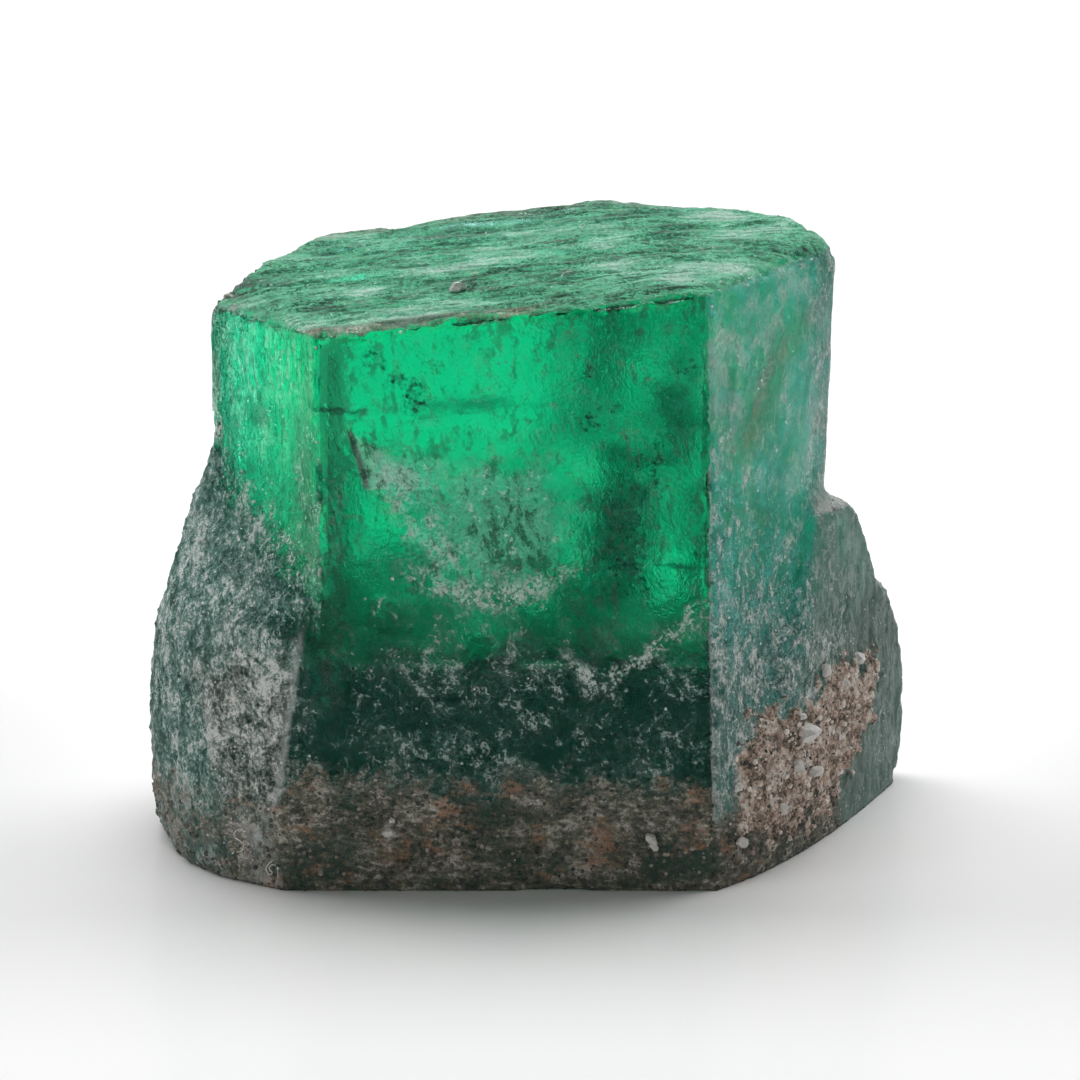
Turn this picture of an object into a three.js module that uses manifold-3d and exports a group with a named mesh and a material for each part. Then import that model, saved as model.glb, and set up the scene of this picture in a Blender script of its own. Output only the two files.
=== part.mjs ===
// A raw emerald: one hexagonal beryl crystal, wide and shallow, with a flared foot on its left and two
// stepped parallel growths on its right. Units are millimetres. X runs along the broad front face, Y from
// the front face to the back face, and Z up the crystal. The origin is under the middle of the crystal.

import * as THREE from 'three';
import { ConvexGeometry } from 'three/addons/geometries/ConvexGeometry.js';
import { mergeVertices } from 'three/addons/utils/BufferGeometryUtils.js';
import Module from 'manifold-3d';

// The hexagonal column. Its side faces stand at 60 degrees to the front face.
const HALF_DEPTH = 5.2;
const FRONT_LEFT_X = -5.46;
const FRONT_RIGHT_X = 4.6;
const LEFT_SIDE_LENGTH = 5.9;
const RIGHT_SIDE_LENGTH = 7.0;
const PRISM_ANGLE = Math.PI / 3;

// How far the right face's two upright edges have moved where they meet the ground.
const FRONT_RIGHT_LEAN = 0.24;
const RIGHT_LEAN = -0.6;

// Height of the tilted end face at each corner of the column.
const END_HEIGHT = {
  frontLeft: 15.0,
  frontRight: 16.15,
  right: 15.95,
  rightShoulder: 16.05,
  backRight: 15.7,
  backMiddle: 15.85,
  backLeft: 15.0,
  leftShoulder: 14.9,
  left: 14.45,
};
const RIGHT_CORNER_ROUNDING = 0.6;
const BACK_CORNER_ROUNDING = 0.5;
const ROUNDING_SIDES = 12;

// The flared foot, which leaves the left corner two thirds of the way up.
const SKIN_GAP = 0.06;
const FOOT_CENTRE = new THREE.Vector2(-5.6, 0.25);
const FOOT_DEPTH = 5.35;
const FOOT_FRONT_REACH = 0.97;
const FOOT_LEVELS = [
  { height: 0.0, reach: 4.05 },
  { height: 0.45, reach: 4.28 },
  { height: 1.7, reach: 4.33 },
  { height: 3.6, reach: 4.43 },
  { height: 5.5, reach: 4.26 },
  { height: 6.6, reach: 3.99 },
];
const FOOT_TOP = { sideHeight: 10.6, frontHeight: 8.3 };
const FOOT_ARC_STEPS = 10;

// The parallel growths share one outer face, which runs back from the front right edge in a slow curve:
// its distance back is a sum of a straight part and a bulge in the distance along X.
const GROWTH_FACE = { startX: 4.85, slope: 1.0, bulge: 0.186 };
const GROWTH_BASE_STEPS = 6;
const GROWTH_TOP_SLOPE = 0.35;
const FIRST_GROWTH = [
  { x: 9.0, height: 0 },
  { x: 9.2, height: 6.2 },
  { x: 9.0, height: 7.2 },
  { x: 8.72, height: 8.3 },
  { x: 8.5, height: 8.75 },
  { x: 7.6, height: 9.1 },
];
const SECOND_GROWTH = [
  { x: 9.72, height: 0 },
  { x: 9.98, height: 0.9 },
  { x: 10.03, height: 3.0 },
  { x: 9.82, height: 4.5 },
  { x: 9.5, height: 5.7 },
  { x: 9.2, height: 6.1 },
];

// Chips knocked out of the rims: place, reach along X, Y and Z, and a turn about Z in degrees.
const CHIPS = [
  { at: [-8.1, 0.35, 14.75], size: [0.42, 0.5, 0.34], turn: 30 },
  { at: [-5.5, -5.35, 15.05], size: [0.5, 0.32, 0.42], turn: 20 },
  { at: [-4.6, -5.4, 15.15], size: [0.7, 0.4, 0.22], turn: 0 },
  { at: [1.35, -5.4, 15.85], size: [0.36, 0.4, 0.3], turn: 0 },
  { at: [-5.7, -5.3, 8.05], size: [0.3, 0.3, 0.55], turn: 45 },
  { at: [-9.9, -0.9, 0.0], size: [0.55, 1.4, 0.5], turn: 10 },
  { at: [0.6, -5.35, 0.0], size: [1.3, 0.35, 0.2], turn: 0 },
  { at: [-2.9, 5.5, 15.6], size: [1.7, 0.85, 0.8], turn: 8 },
  { at: [4.2, 5.6, 15.9], size: [1.1, 0.7, 0.5], turn: -10 },
];
const CHIP_DETAIL = 1;

function cornerPoint(corner, height) {
  return new THREE.Vector3(corner.x, corner.y, height);
}

function columnCorners() {
  const cos = Math.cos(PRISM_ANGLE);
  const sin = Math.sin(PRISM_ANGLE);
  const frontLeft = new THREE.Vector2(FRONT_LEFT_X, -HALF_DEPTH);
  const frontRight = new THREE.Vector2(FRONT_RIGHT_X, -HALF_DEPTH);
  const right = frontRight.clone().add(new THREE.Vector2(cos, sin).multiplyScalar(RIGHT_SIDE_LENGTH));
  const left = frontLeft.clone().add(new THREE.Vector2(-cos, sin).multiplyScalar(LEFT_SIDE_LENGTH));
  const rightRun = (HALF_DEPTH - right.y) / sin;
  const leftRun = (HALF_DEPTH - left.y) / sin;
  const backRight = new THREE.Vector2(right.x - cos * rightRun, HALF_DEPTH);
  const backLeft = new THREE.Vector2(left.x + cos * leftRun, HALF_DEPTH);
  return { frontLeft, frontRight, right, left, backRight, backLeft };
}

// A rounded upright edge with a domed tip, as points. Its flanks touch both faces of the sharp corner.
function roundedEdge(corner, inward, radius, height, lean) {
  const setBack = radius / Math.sin(PRISM_ANGLE);
  const centre = corner.clone().add(inward.clone().multiplyScalar(setBack));
  const dome = new THREE.SphereGeometry(radius, ROUNDING_SIDES, ROUNDING_SIDES).rotateX(Math.PI / 2);
  const positions = dome.getAttribute('position');
  const points = [];
  for (let i = 0; i < positions.count; i += 1) {
    const point = new THREE.Vector3().fromBufferAttribute(positions, i);
    if (point.z >= 0) {
      points.push(new THREE.Vector3(centre.x + point.x, centre.y + point.y, height - radius + point.z));
      points.push(new THREE.Vector3(centre.x + point.x + lean, centre.y + point.y, 0));
    }
  }
  return points;
}

function columnPoints() {
  const { frontLeft, frontRight, right, left, backRight, backLeft } = columnCorners();
  const points = [
    cornerPoint(frontLeft, END_HEIGHT.frontLeft),
    cornerPoint(frontRight, END_HEIGHT.frontRight),
    cornerPoint(left, END_HEIGHT.left),
    cornerPoint(backLeft, END_HEIGHT.backLeft),
    cornerPoint(right.clone().lerp(backRight, 0.4), END_HEIGHT.rightShoulder),
    cornerPoint(backLeft.clone().lerp(backRight, 0.62), END_HEIGHT.backMiddle),
    cornerPoint(left.clone().lerp(backLeft, 0.34), END_HEIGHT.leftShoulder),
    new THREE.Vector3(frontRight.x + FRONT_RIGHT_LEAN, frontRight.y, 0),
  ];
  for (const foot of [frontLeft, left, backLeft]) {
    points.push(cornerPoint(foot, 0));
  }
  const rightInward = new THREE.Vector2(-1, 0);
  const backInward = new THREE.Vector2(-Math.cos(PRISM_ANGLE), -Math.sin(PRISM_ANGLE));
  points.push(...roundedEdge(right, rightInward, RIGHT_CORNER_ROUNDING, END_HEIGHT.right, RIGHT_LEAN));
  points.push(...roundedEdge(backRight, backInward, BACK_CORNER_ROUNDING, END_HEIGHT.backRight, 0));
  return points;
}

// The foot's outline at each level is half an ellipse that closes on the column's front and back faces.
function footPoints() {
  const { frontLeft, left } = columnCorners();
  const front = SKIN_GAP - HALF_DEPTH;
  const back = HALF_DEPTH - SKIN_GAP;
  const points = [];
  for (const { height, reach } of FOOT_LEVELS) {
    const rise = height / FOOT_TOP.frontHeight;
    const frontX = frontLeft.x - FOOT_FRONT_REACH * (1 - 0.6 * rise);
    points.push(new THREE.Vector3(frontX, front, height));
    points.push(new THREE.Vector3(frontLeft.x + 1, front, height));
    points.push(new THREE.Vector3(FOOT_CENTRE.x + 1, back, height));
    for (let step = 1; step < FOOT_ARC_STEPS; step += 1) {
      const turn = Math.PI * (step / FOOT_ARC_STEPS - 0.5);
      const x = FOOT_CENTRE.x - reach * Math.cos(turn);
      const y = FOOT_CENTRE.y + FOOT_DEPTH * Math.sin(turn);
      points.push(new THREE.Vector3(x, THREE.MathUtils.clamp(y, front, back), height));
    }
  }
  points.push(cornerPoint(left, FOOT_TOP.sideHeight));
  points.push(new THREE.Vector3(frontLeft.x + 0.3, 0.3 - HALF_DEPTH, FOOT_TOP.frontHeight));
  return points;
}

function growthFaceY(x) {
  const run = x - GROWTH_FACE.startX;
  return GROWTH_FACE.slope * run + GROWTH_FACE.bulge * run * run - HALF_DEPTH;
}

// A parallel growth from the corners of its outer edge: each corner also has a rear end, which lies on the
// back face and keeps the direction of the column's own rear face.
function growthPoints(outerEdge) {
  const back = HALF_DEPTH - SKIN_GAP;
  const points = [];
  for (const { x, height } of outerEdge) {
    const y = growthFaceY(x);
    const rearX = x - (back - y) / Math.tan(PRISM_ANGLE);
    const rearHeight = height - GROWTH_TOP_SLOPE * (height / outerEdge.at(-1).height);
    points.push(new THREE.Vector3(x, y, height));
    points.push(new THREE.Vector3(rearX, back, Math.max(rearHeight, 0)));
    points.push(new THREE.Vector3(0, back, Math.max(rearHeight, 0)));
  }
  for (let step = 0; step <= GROWTH_BASE_STEPS; step += 1) {
    const x = THREE.MathUtils.lerp(GROWTH_FACE.startX, outerEdge[0].x, step / GROWTH_BASE_STEPS);
    points.push(new THREE.Vector3(x, growthFaceY(x), 0));
  }
  return points;
}

const wasm = await Module();
wasm.setup();

function solidFrom(geometry) {
  const bare = geometry.index ? geometry.toNonIndexed() : geometry;
  bare.deleteAttribute('normal');
  bare.deleteAttribute('uv');
  const merged = mergeVertices(bare, 1e-4);
  const mesh = new wasm.Mesh({
    numProp: 3,
    vertProperties: new Float32Array(merged.getAttribute('position').array),
    triVerts: new Uint32Array(merged.index.array),
  });
  return new wasm.Manifold(mesh);
}

function geometryFrom(solid) {
  const { vertProperties, triVerts } = solid.getMesh();
  const geometry = new THREE.BufferGeometry();
  geometry.setAttribute('position', new THREE.BufferAttribute(vertProperties, 3));
  geometry.setIndex(new THREE.BufferAttribute(triVerts, 1));
  geometry.computeVertexNormals();
  return geometry;
}

function chipGeometry({ at, size, turn }) {
  const chip = new THREE.IcosahedronGeometry(1, CHIP_DETAIL);
  chip.scale(...size);
  chip.rotateZ(THREE.MathUtils.degToRad(turn));
  chip.translate(...at);
  return chip;
}

function crystalGeometry() {
  const parts = [columnPoints(), footPoints(), growthPoints(FIRST_GROWTH), growthPoints(SECOND_GROWTH)];
  let solid = parts.map((points) => solidFrom(new ConvexGeometry(points))).reduce((a, b) => a.add(b));
  for (const chip of CHIPS) {
    solid = solid.subtract(solidFrom(chipGeometry(chip)));
  }
  return geometryFrom(solid);
}

const emerald = new THREE.MeshStandardMaterial({ color: 0x0a8f5e, roughness: 0.22, metalness: 0 });
const crystal = new THREE.Mesh(crystalGeometry(), emerald);
crystal.name = 'emerald_crystal';

const group = new THREE.Group();
group.add(crystal);

export default group;
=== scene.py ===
"""A raw emerald crystal: glassy green above, frosted and crusted below, on a pale floor in soft light."""

import math

import bpy
import bmesh
from bpy.props import FloatProperty, FloatVectorProperty, IntProperty, PointerProperty
from mathutils import Matrix, Vector, noise


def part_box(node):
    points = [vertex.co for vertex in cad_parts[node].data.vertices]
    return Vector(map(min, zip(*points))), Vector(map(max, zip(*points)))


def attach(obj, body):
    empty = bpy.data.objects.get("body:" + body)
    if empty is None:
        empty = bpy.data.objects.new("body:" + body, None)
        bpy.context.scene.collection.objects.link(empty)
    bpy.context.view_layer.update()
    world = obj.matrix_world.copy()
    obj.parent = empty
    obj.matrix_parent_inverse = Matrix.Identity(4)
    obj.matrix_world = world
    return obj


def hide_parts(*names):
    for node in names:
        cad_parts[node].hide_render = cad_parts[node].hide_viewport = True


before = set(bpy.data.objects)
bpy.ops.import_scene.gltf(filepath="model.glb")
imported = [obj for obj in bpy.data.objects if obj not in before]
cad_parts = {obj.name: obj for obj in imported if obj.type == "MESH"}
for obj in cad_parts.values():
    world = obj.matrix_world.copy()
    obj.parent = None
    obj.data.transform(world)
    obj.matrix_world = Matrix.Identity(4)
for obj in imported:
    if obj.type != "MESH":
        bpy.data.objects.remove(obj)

bl_info = {
    "name": "Raw Emerald",
    "version": (1, 0, 0),
    "blender": (4, 5, 0),
    "location": "View3D > Sidebar > Emerald",
    "description": "Builds a raw emerald crystal, what is sealed in it and what has grown on it",
    "category": "Object",
}

NODE = "emerald_crystal"
BODY = "root"
MM = 0.001
LOW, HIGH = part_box(NODE)
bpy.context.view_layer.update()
SIZE = (HIGH - LOW) / MM

# Landmarks on the crystal, in millimetres.
FRONT_LEFT_EDGE = -5.93
EDGE_KNEE = 6.9
EDGE_LEAN = 0.142
DARK_STRIP = -5.2
SLAB_SIDE = -4.78
SLAB_TOP = 12.6
SLAB_FOOT = 10.88
SEAM_MIDDLE = 1.9
SEAM_FOOT = 5.85
STAIN_LEAN = 0.47

# The stage, in metres.
FLOOR_GAP = 0.01 * MM
AIM_SHIFT = 0.26 * MM
AIM_HEIGHT = 7.99 * MM


# ---------------------------------------------------------------------------------------------------
# Node trees as expressions


class Wire:
    """An output socket that takes part in arithmetic: each operator adds a Math or Vector Math node."""

    def __init__(self, graph, socket):
        self.graph = graph
        self.socket = socket

    def out(self, name):
        """Another output of the same node."""
        return Wire(self.graph, self.socket.node.outputs[name])

    def is_vector(self):
        return self.socket.type in ("VECTOR", "RGBA")

    def join(self, operation, first, second):
        kind = "ShaderNodeMath"
        for item in (first, second):
            if isinstance(item, tuple) or (isinstance(item, Wire) and item.is_vector()):
                kind = "ShaderNodeVectorMath"
        return self.graph.add(kind, {"operation": operation}, {0: first, 1: second})

    def __add__(self, other):
        return self.join("ADD", self, other)

    def __radd__(self, other):
        return self.join("ADD", other, self)

    def __sub__(self, other):
        return self.join("SUBTRACT", self, other)

    def __rsub__(self, other):
        return self.join("SUBTRACT", other, self)

    def __mul__(self, other):
        return self.join("MULTIPLY", self, other)

    def __rmul__(self, other):
        return self.join("MULTIPLY", other, self)

    def __neg__(self):
        return self.join("MULTIPLY", self, -1.0)


class Graph:
    """Adds nodes to one tree, of a material or of geometry."""

    def __init__(self, tree):
        self.tree = tree

    def add(self, kind, settings=None, sockets=None, output=0):
        node = self.tree.nodes.new(kind)
        for name, value in (settings or {}).items():
            if name == "stops":
                self.set_stops(node.color_ramp, value)
            else:
                setattr(node, name, value)
        for name, value in (sockets or {}).items():
            self.plug(node.inputs[name], value)
        return Wire(self, node.outputs[output]) if node.outputs else node

    def plug(self, socket, value):
        if isinstance(value, Wire):
            self.tree.links.new(value.socket, socket)
        elif socket.type == "VECTOR" and isinstance(value, (int, float)):
            socket.default_value = (value, value, value)
        elif socket.type == "RGBA" and len(value) == 3:
            socket.default_value = (*value, 1.0)
        else:
            socket.default_value = value

    def set_stops(self, ramp, stops):
        while len(ramp.elements) < len(stops):
            ramp.elements.new(1.0)
        for element, (place, colour) in zip(ramp.elements, stops):
            element.position = place
            element.color = (*colour, 1.0)

    def split(self, vector):
        parts = self.add("ShaderNodeSeparateXYZ", None, {0: vector})
        return parts, parts.out("Y"), parts.out("Z")

    def vector(self, x, y, z):
        return self.add("ShaderNodeCombineXYZ", None, {0: x, 1: y, 2: z})

    def smooth(self, value, low, high):
        """0 at low, 1 at high, and an S curve between them."""
        sockets = {"Value": value, "From Min": low, "From Max": high}
        return self.add("ShaderNodeMapRange", {"interpolation_type": "SMOOTHSTEP"}, sockets)

    def most(self, first, second):
        return self.add("ShaderNodeMath", {"operation": "MAXIMUM"}, {0: first, 1: second})

    def least(self, first, second):
        return self.add("ShaderNodeMath", {"operation": "MINIMUM"}, {0: first, 1: second})

    def size(self, value):
        """The number without its sign."""
        return self.add("ShaderNodeMath", {"operation": "ABSOLUTE"}, {0: value})

    def noise(self, place, detail=3.0, roughness=0.5, distortion=0.0):
        """Cloudy noise about 0, mostly within a quarter either way."""
        sockets = {"Vector": place, "Scale": 1.0, "Detail": detail, "Roughness": roughness,
                   "Distortion": distortion}
        return self.add("ShaderNodeTexNoise", {"noise_dimensions": "3D"}, sockets) - 0.5

    def veins(self, place, width, detail=4.0):
        """1 along thin winding lines, 0 between them."""
        return self.smooth(self.size(self.noise(place, detail, 0.6, 0.4)), width, 0.0)

    def blocks(self, place):
        """A random number from 0 to 1 for each unit cube."""
        corner = self.add("ShaderNodeVectorMath", {"operation": "FLOOR"}, {0: place})
        return self.add("ShaderNodeTexWhiteNoise", {"noise_dimensions": "3D"}, {"Vector": corner})

    def dots(self, place, size, share):
        """Round dots, one in some of the unit cells of the place."""
        cells = self.add("ShaderNodeTexVoronoi", {"feature": "F1"}, {"Vector": place, "Scale": 1.0})
        picked = self.smooth(self.split(cells.out("Color"))[0], 1.0 - share, 1.01 - share)
        return self.smooth(cells, size, size * 0.6) * picked

    def tint(self, factor, first, second):
        """From the first colour to the second."""
        return self.add("ShaderNodeMix", {"data_type": "RGBA"}, {0: factor, 6: first, 7: second}, 2)

    def ramp(self, value, stops):
        return self.add("ShaderNodeValToRGB", {"stops": stops}, {"Fac": value})


def new_material(name):
    material = bpy.data.materials.new(name)
    material.use_nodes = True
    material.node_tree.nodes.clear()
    return material, Graph(material.node_tree)


def object_place(graph):
    """Where a point is on the object, in millimetres."""
    return graph.add("ShaderNodeTexCoord", None, None, "Object") * (1.0 / MM)


def lobe(graph, place, centre, reach):
    """1 at the centre of an egg-shaped room, 0 on its wall and negative outside."""
    inward = (place - tuple(centre)) * tuple(1.0 / r for r in reach)
    return 1.0 - graph.add("ShaderNodeVectorMath", {"operation": "LENGTH"}, {0: inward}, "Value")


def attribute(graph, name):
    return graph.add("ShaderNodeAttribute", {"attribute_name": name}, None, "Fac")


def geometry_tree(name, inputs):
    """A geometry tree with named number inputs. Gives the tree, its graph and the inputs as wires."""
    tree = bpy.data.node_groups.new(name, "GeometryNodeTree")
    tree.interface.new_socket("Geometry", in_out="INPUT", socket_type="NodeSocketGeometry")
    tree.interface.new_socket("Geometry", in_out="OUTPUT", socket_type="NodeSocketGeometry")
    for label, value in inputs.items():
        kind = "NodeSocketInt" if isinstance(value, int) else "NodeSocketFloat"
        tree.interface.new_socket(label, in_out="INPUT", socket_type=kind).default_value = value
    graph = Graph(tree)
    entry = graph.add("NodeGroupInput")
    return tree, graph, entry


def run_tree(piece, tree, inputs):
    """Runs a geometry tree on a piece and keeps the result as its mesh."""
    modifier = piece.modifiers.new(tree.name, "NODES")
    modifier.node_group = tree
    for item in tree.interface.items_tree:
        if item.in_out == "INPUT" and item.name in inputs:
            modifier[item.identifier] = inputs[item.name]
    keep_result(piece)


def keep_result(piece):
    """Replaces a piece's mesh by what its modifiers make of it."""
    depsgraph = bpy.context.evaluated_depsgraph_get()
    made = bpy.data.meshes.new_from_object(
        piece.evaluated_get(depsgraph), preserve_all_data_layers=True, depsgraph=depsgraph)
    old = piece.data
    piece.modifiers.clear()
    piece.data = made
    bpy.data.meshes.remove(old)


def link(name, mesh):
    piece = bpy.data.objects.new(name, mesh)
    bpy.context.scene.collection.objects.link(piece)
    return piece


def merged_node_mesh(scale):
    """A copy of the frame's crystal with its corners merged, at the given scale."""
    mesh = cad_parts[NODE].data.copy()
    mesh.transform(Matrix.Scale(scale, 4))
    shape = bmesh.new()
    shape.from_mesh(mesh)
    bmesh.ops.remove_doubles(shape, verts=shape.verts, dist=1e-5 * scale)
    shape.to_mesh(mesh)
    shape.free()
    mesh.materials.clear()
    return mesh


# ---------------------------------------------------------------------------------------------------
# What a user would change


class CrystalSettings(bpy.types.PropertyGroup):
    grain: FloatProperty(
        name="Grain", description="Size of the mesh's facets in millimetres", default=0.114, min=0.1)
    ridge_height: FloatProperty(
        name="Ridge Height", description="Height of the ridges on the end face in millimetres", default=0.4)
    striation: FloatProperty(
        name="Striation", description="Depth of the upright lines on the sides in millimetres", default=0.07)
    skin_relief: FloatProperty(
        name="Skin Relief", description="Roughness of the mica skin in millimetres", default=0.2)
    rim_wear: FloatProperty(
        name="Rim Wear", description="Depth of the chips along the edges in millimetres", default=0.3)
    skin_line: FloatProperty(
        name="Skin Line", description="Height of the mica skin on the front in millimetres", default=3.1)
    bloom_line: FloatProperty(
        name="Bloom Line", description="Height of the frosting on the front in millimetres", default=6.7)
    refraction: FloatProperty(
        name="Refractive Index", description="Refractive index of beryl", default=1.577)
    depth_of_colour: FloatProperty(
        name="Depth of Colour", description="Absorption per metre", default=600.0)
    passed_colour: FloatVectorProperty(
        name="Passed Colour", description="Light that the crystal lets pass", subtype="COLOR", size=3,
        default=(0.0, 0.89, 0.735))


class GrainSettings(bpy.types.PropertyGroup):
    mica_plates: FloatProperty(
        name="Mica Plates", description="Mica plates per square millimetre of skin", default=22.0)
    mica_size: FloatProperty(
        name="Mica Size", description="Width of the largest mica plates in millimetres", default=0.14)
    frost_crystals: FloatProperty(
        name="Frost Crystals", description="Pale crystals per square millimetre of frosting", default=26.0)
    frost_size: FloatProperty(
        name="Frost Size", description="Size of the larger pale crystals in millimetres", default=0.075)
    rock_grains: FloatProperty(
        name="Rock Grains", description="Grains per square millimetre of host rock", default=34.0)
    rock_size: FloatProperty(
        name="Rock Size", description="Size of the larger rock grains in millimetres", default=0.15)


class InclusionSettings(bpy.types.PropertyGroup):
    cloud_specks: IntProperty(name="Cloud Specks", description="Specks tried for the cloud", default=9000)
    rim_specks: IntProperty(name="Rim Specks", description="Specks tried for its rim", default=6000)
    loose_specks: IntProperty(name="Loose Specks", description="Specks tried elsewhere", default=14000)
    mica_flakes: FloatProperty(
        name="Mica Flakes", description="Dark flakes tried per cubic millimetre of a cluster", default=900.0)
    needles: IntProperty(name="Needles", description="Growth needles tried", default=1100)


class StageSettings(bpy.types.PropertyGroup):
    floor_colour: FloatVectorProperty(
        name="Floor", description="Colour of the floor", subtype="COLOR", size=3, default=(0.9, 0.9, 0.9))
    floor_width: FloatProperty(
        name="Floor Width", description="Width of the square floor", unit="LENGTH", default=1.0)
    elevation: FloatProperty(
        name="Elevation", description="Height of the camera's view", subtype="ANGLE",
        default=math.radians(16.5))
    view_width: FloatProperty(
        name="View Width", description="Width that the camera takes in", unit="LENGTH", default=0.02835)
    lens: FloatProperty(name="Lens", description="Focal length in millimetres", default=400.0)
    card_gap: FloatProperty(
        name="Card Gap", description="From the crystal to the dark cards", unit="LENGTH", default=0.014)
    card_height: FloatProperty(
        name="Card Height", description="Height of the dark cards", unit="LENGTH", default=0.013)
    card_near: FloatProperty(
        name="Card Near End", description="Where the dark cards begin", unit="LENGTH", default=-0.008)
    card_far: FloatProperty(
        name="Card Far End", description="Where the dark cards end, behind the crystal", unit="LENGTH",
        default=0.021)
    sky: FloatProperty(name="Sky", description="Strength of the light from overhead", default=0.05)
    tent: FloatProperty(name="Tent", description="Strength of the light from the sides", default=0.7)
    windows: FloatProperty(
        name="Windows", description="Extra strength of the light from behind at either side", default=0.6)


# ---------------------------------------------------------------------------------------------------
# The crystal


# Colours of the crust, each from its darkest place on a ramp to its lightest.
# Frosting over green.
TEAL = [
    (0.06, (0.020, 0.105, 0.080)), (0.38, (0.115, 0.280, 0.235)), (0.64, (0.290, 0.480, 0.430)),
    (0.94, (0.860, 0.920, 0.880)),
]
# Haze on the right face.
MARINE = [
    (0.06, (0.030, 0.330, 0.295)), (0.40, (0.070, 0.590, 0.520)), (0.66, (0.120, 0.770, 0.660)),
    (0.90, (0.480, 0.880, 0.790)),
]
# Grey frosting low down.
ASHEN = [
    (0.06, (0.024, 0.050, 0.036)), (0.38, (0.175, 0.215, 0.185)), (0.64, (0.410, 0.445, 0.410)),
    (0.94, (0.900, 0.920, 0.890)),
]
# Film on the front of the foot.
DUSK = [
    (0.08, (0.012, 0.065, 0.048)), (0.44, (0.052, 0.135, 0.112)), (0.70, (0.150, 0.275, 0.238)),
    (1.00, (0.400, 0.500, 0.455)),
]
# The combed end face.
MOSSY = [
    (0.06, (0.020, 0.220, 0.105)), (0.40, (0.075, 0.500, 0.260)), (0.66, (0.190, 0.640, 0.400)),
    (0.92, (0.600, 0.840, 0.710)),
]
# Mica skin.
UMBER = [
    (0.08, (0.014, 0.026, 0.017)), (0.38, (0.105, 0.113, 0.084)), (0.62, (0.235, 0.225, 0.165)),
    (0.90, (0.640, 0.600, 0.530)),
]
# Host rock.
PINKISH = [
    (0.08, (0.040, 0.045, 0.034)), (0.34, (0.290, 0.225, 0.170)), (0.58, (0.720, 0.520, 0.400)),
    (0.86, (0.940, 0.870, 0.800)),
]
# The milky cloud.
MILKY = [
    (0.1, (0.200, 0.780, 0.540)), (0.5, (0.340, 0.950, 0.700)), (0.9, (0.860, 0.990, 0.920)),
]
# Single tints.
MOSS_WASH = (0.330, 0.560, 0.450)
MOSS = (0.035, 0.075, 0.055)
RUST = (0.480, 0.245, 0.145)
DULL_TEAL = (0.110, 0.195, 0.160)
PALE_WEAR_AND_HIGHLIGHT = (0.740, 0.770, 0.750)
# Pale tint for worn edges and frosted ledges, also used as a painted highlight along the front-left edge.
RIM_MILK = (0.780, 0.880, 0.810)
SLAB_SHADOW = (0.060, 0.100, 0.070)
BRIGHT_THREAD = (0.060, 0.950, 0.560)
DARK_THREAD = (0.001, 0.050, 0.025)
# Colour of the painted glints and of the cloud's pale flecks.
GLINT_AND_FLECK_WHITE = (0.84, 0.90, 0.87)

ZONES = ("haze", "frost", "skin", "patch", "grey", "top", "rim", "front", "left", "right", "back", "pale",
         "outer", "wear")


def back_film(graph, place):
    """How much of the light the back face stops: mottled, thick at the sides and low down, thin high up."""
    x, _, z = graph.split(place)
    level = place * (1.0, 0.0, 1.0)
    clear = lobe(graph, level, (-2.3, 0.0, 12.2), (3.3, 1.0, 3.0))
    dark = lobe(graph, level, (2.3, 0.0, 7.6), (1.2, 1.0, 2.6))
    gap = lobe(graph, level, (3.7, 0.0, 6.9), (0.9, 1.0, 1.0))
    film = 0.42 - graph.smooth(clear, -0.2, 0.6) * 0.5 + graph.smooth(x, 0.2, 1.6) * 0.1
    film = film - graph.smooth(x, -2.6, -3.6) * graph.smooth(z, 9.8, 11.2) * 0.45
    film = film + graph.smooth(x, -4.1, -4.8) * graph.smooth(z, 10.6, 9.4) * 0.2
    film = film + graph.smooth(z, 8.6, 5.6) * 0.22
    film = film + graph.smooth(dark, -0.1, 0.6) * 0.3 - graph.smooth(gap, -0.1, 0.6) * 0.3
    streaks = graph.noise(place * (3.0, 3.0, 0.6), 4.0, 0.7)
    mottle = graph.noise(place * 0.9 + (9.0, 0.0, 4.0), 5.0, 0.68, 0.6)
    steps = graph.blocks(place * (0.85, 0.0, 1.15) + (0.4, 0.5, 0.3)) - 0.5
    low = graph.smooth(z, 9.6, 7.0)
    return film + streaks * 1.2 + mottle * 1.35 + steps * (0.06 + low * 0.2)


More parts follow.
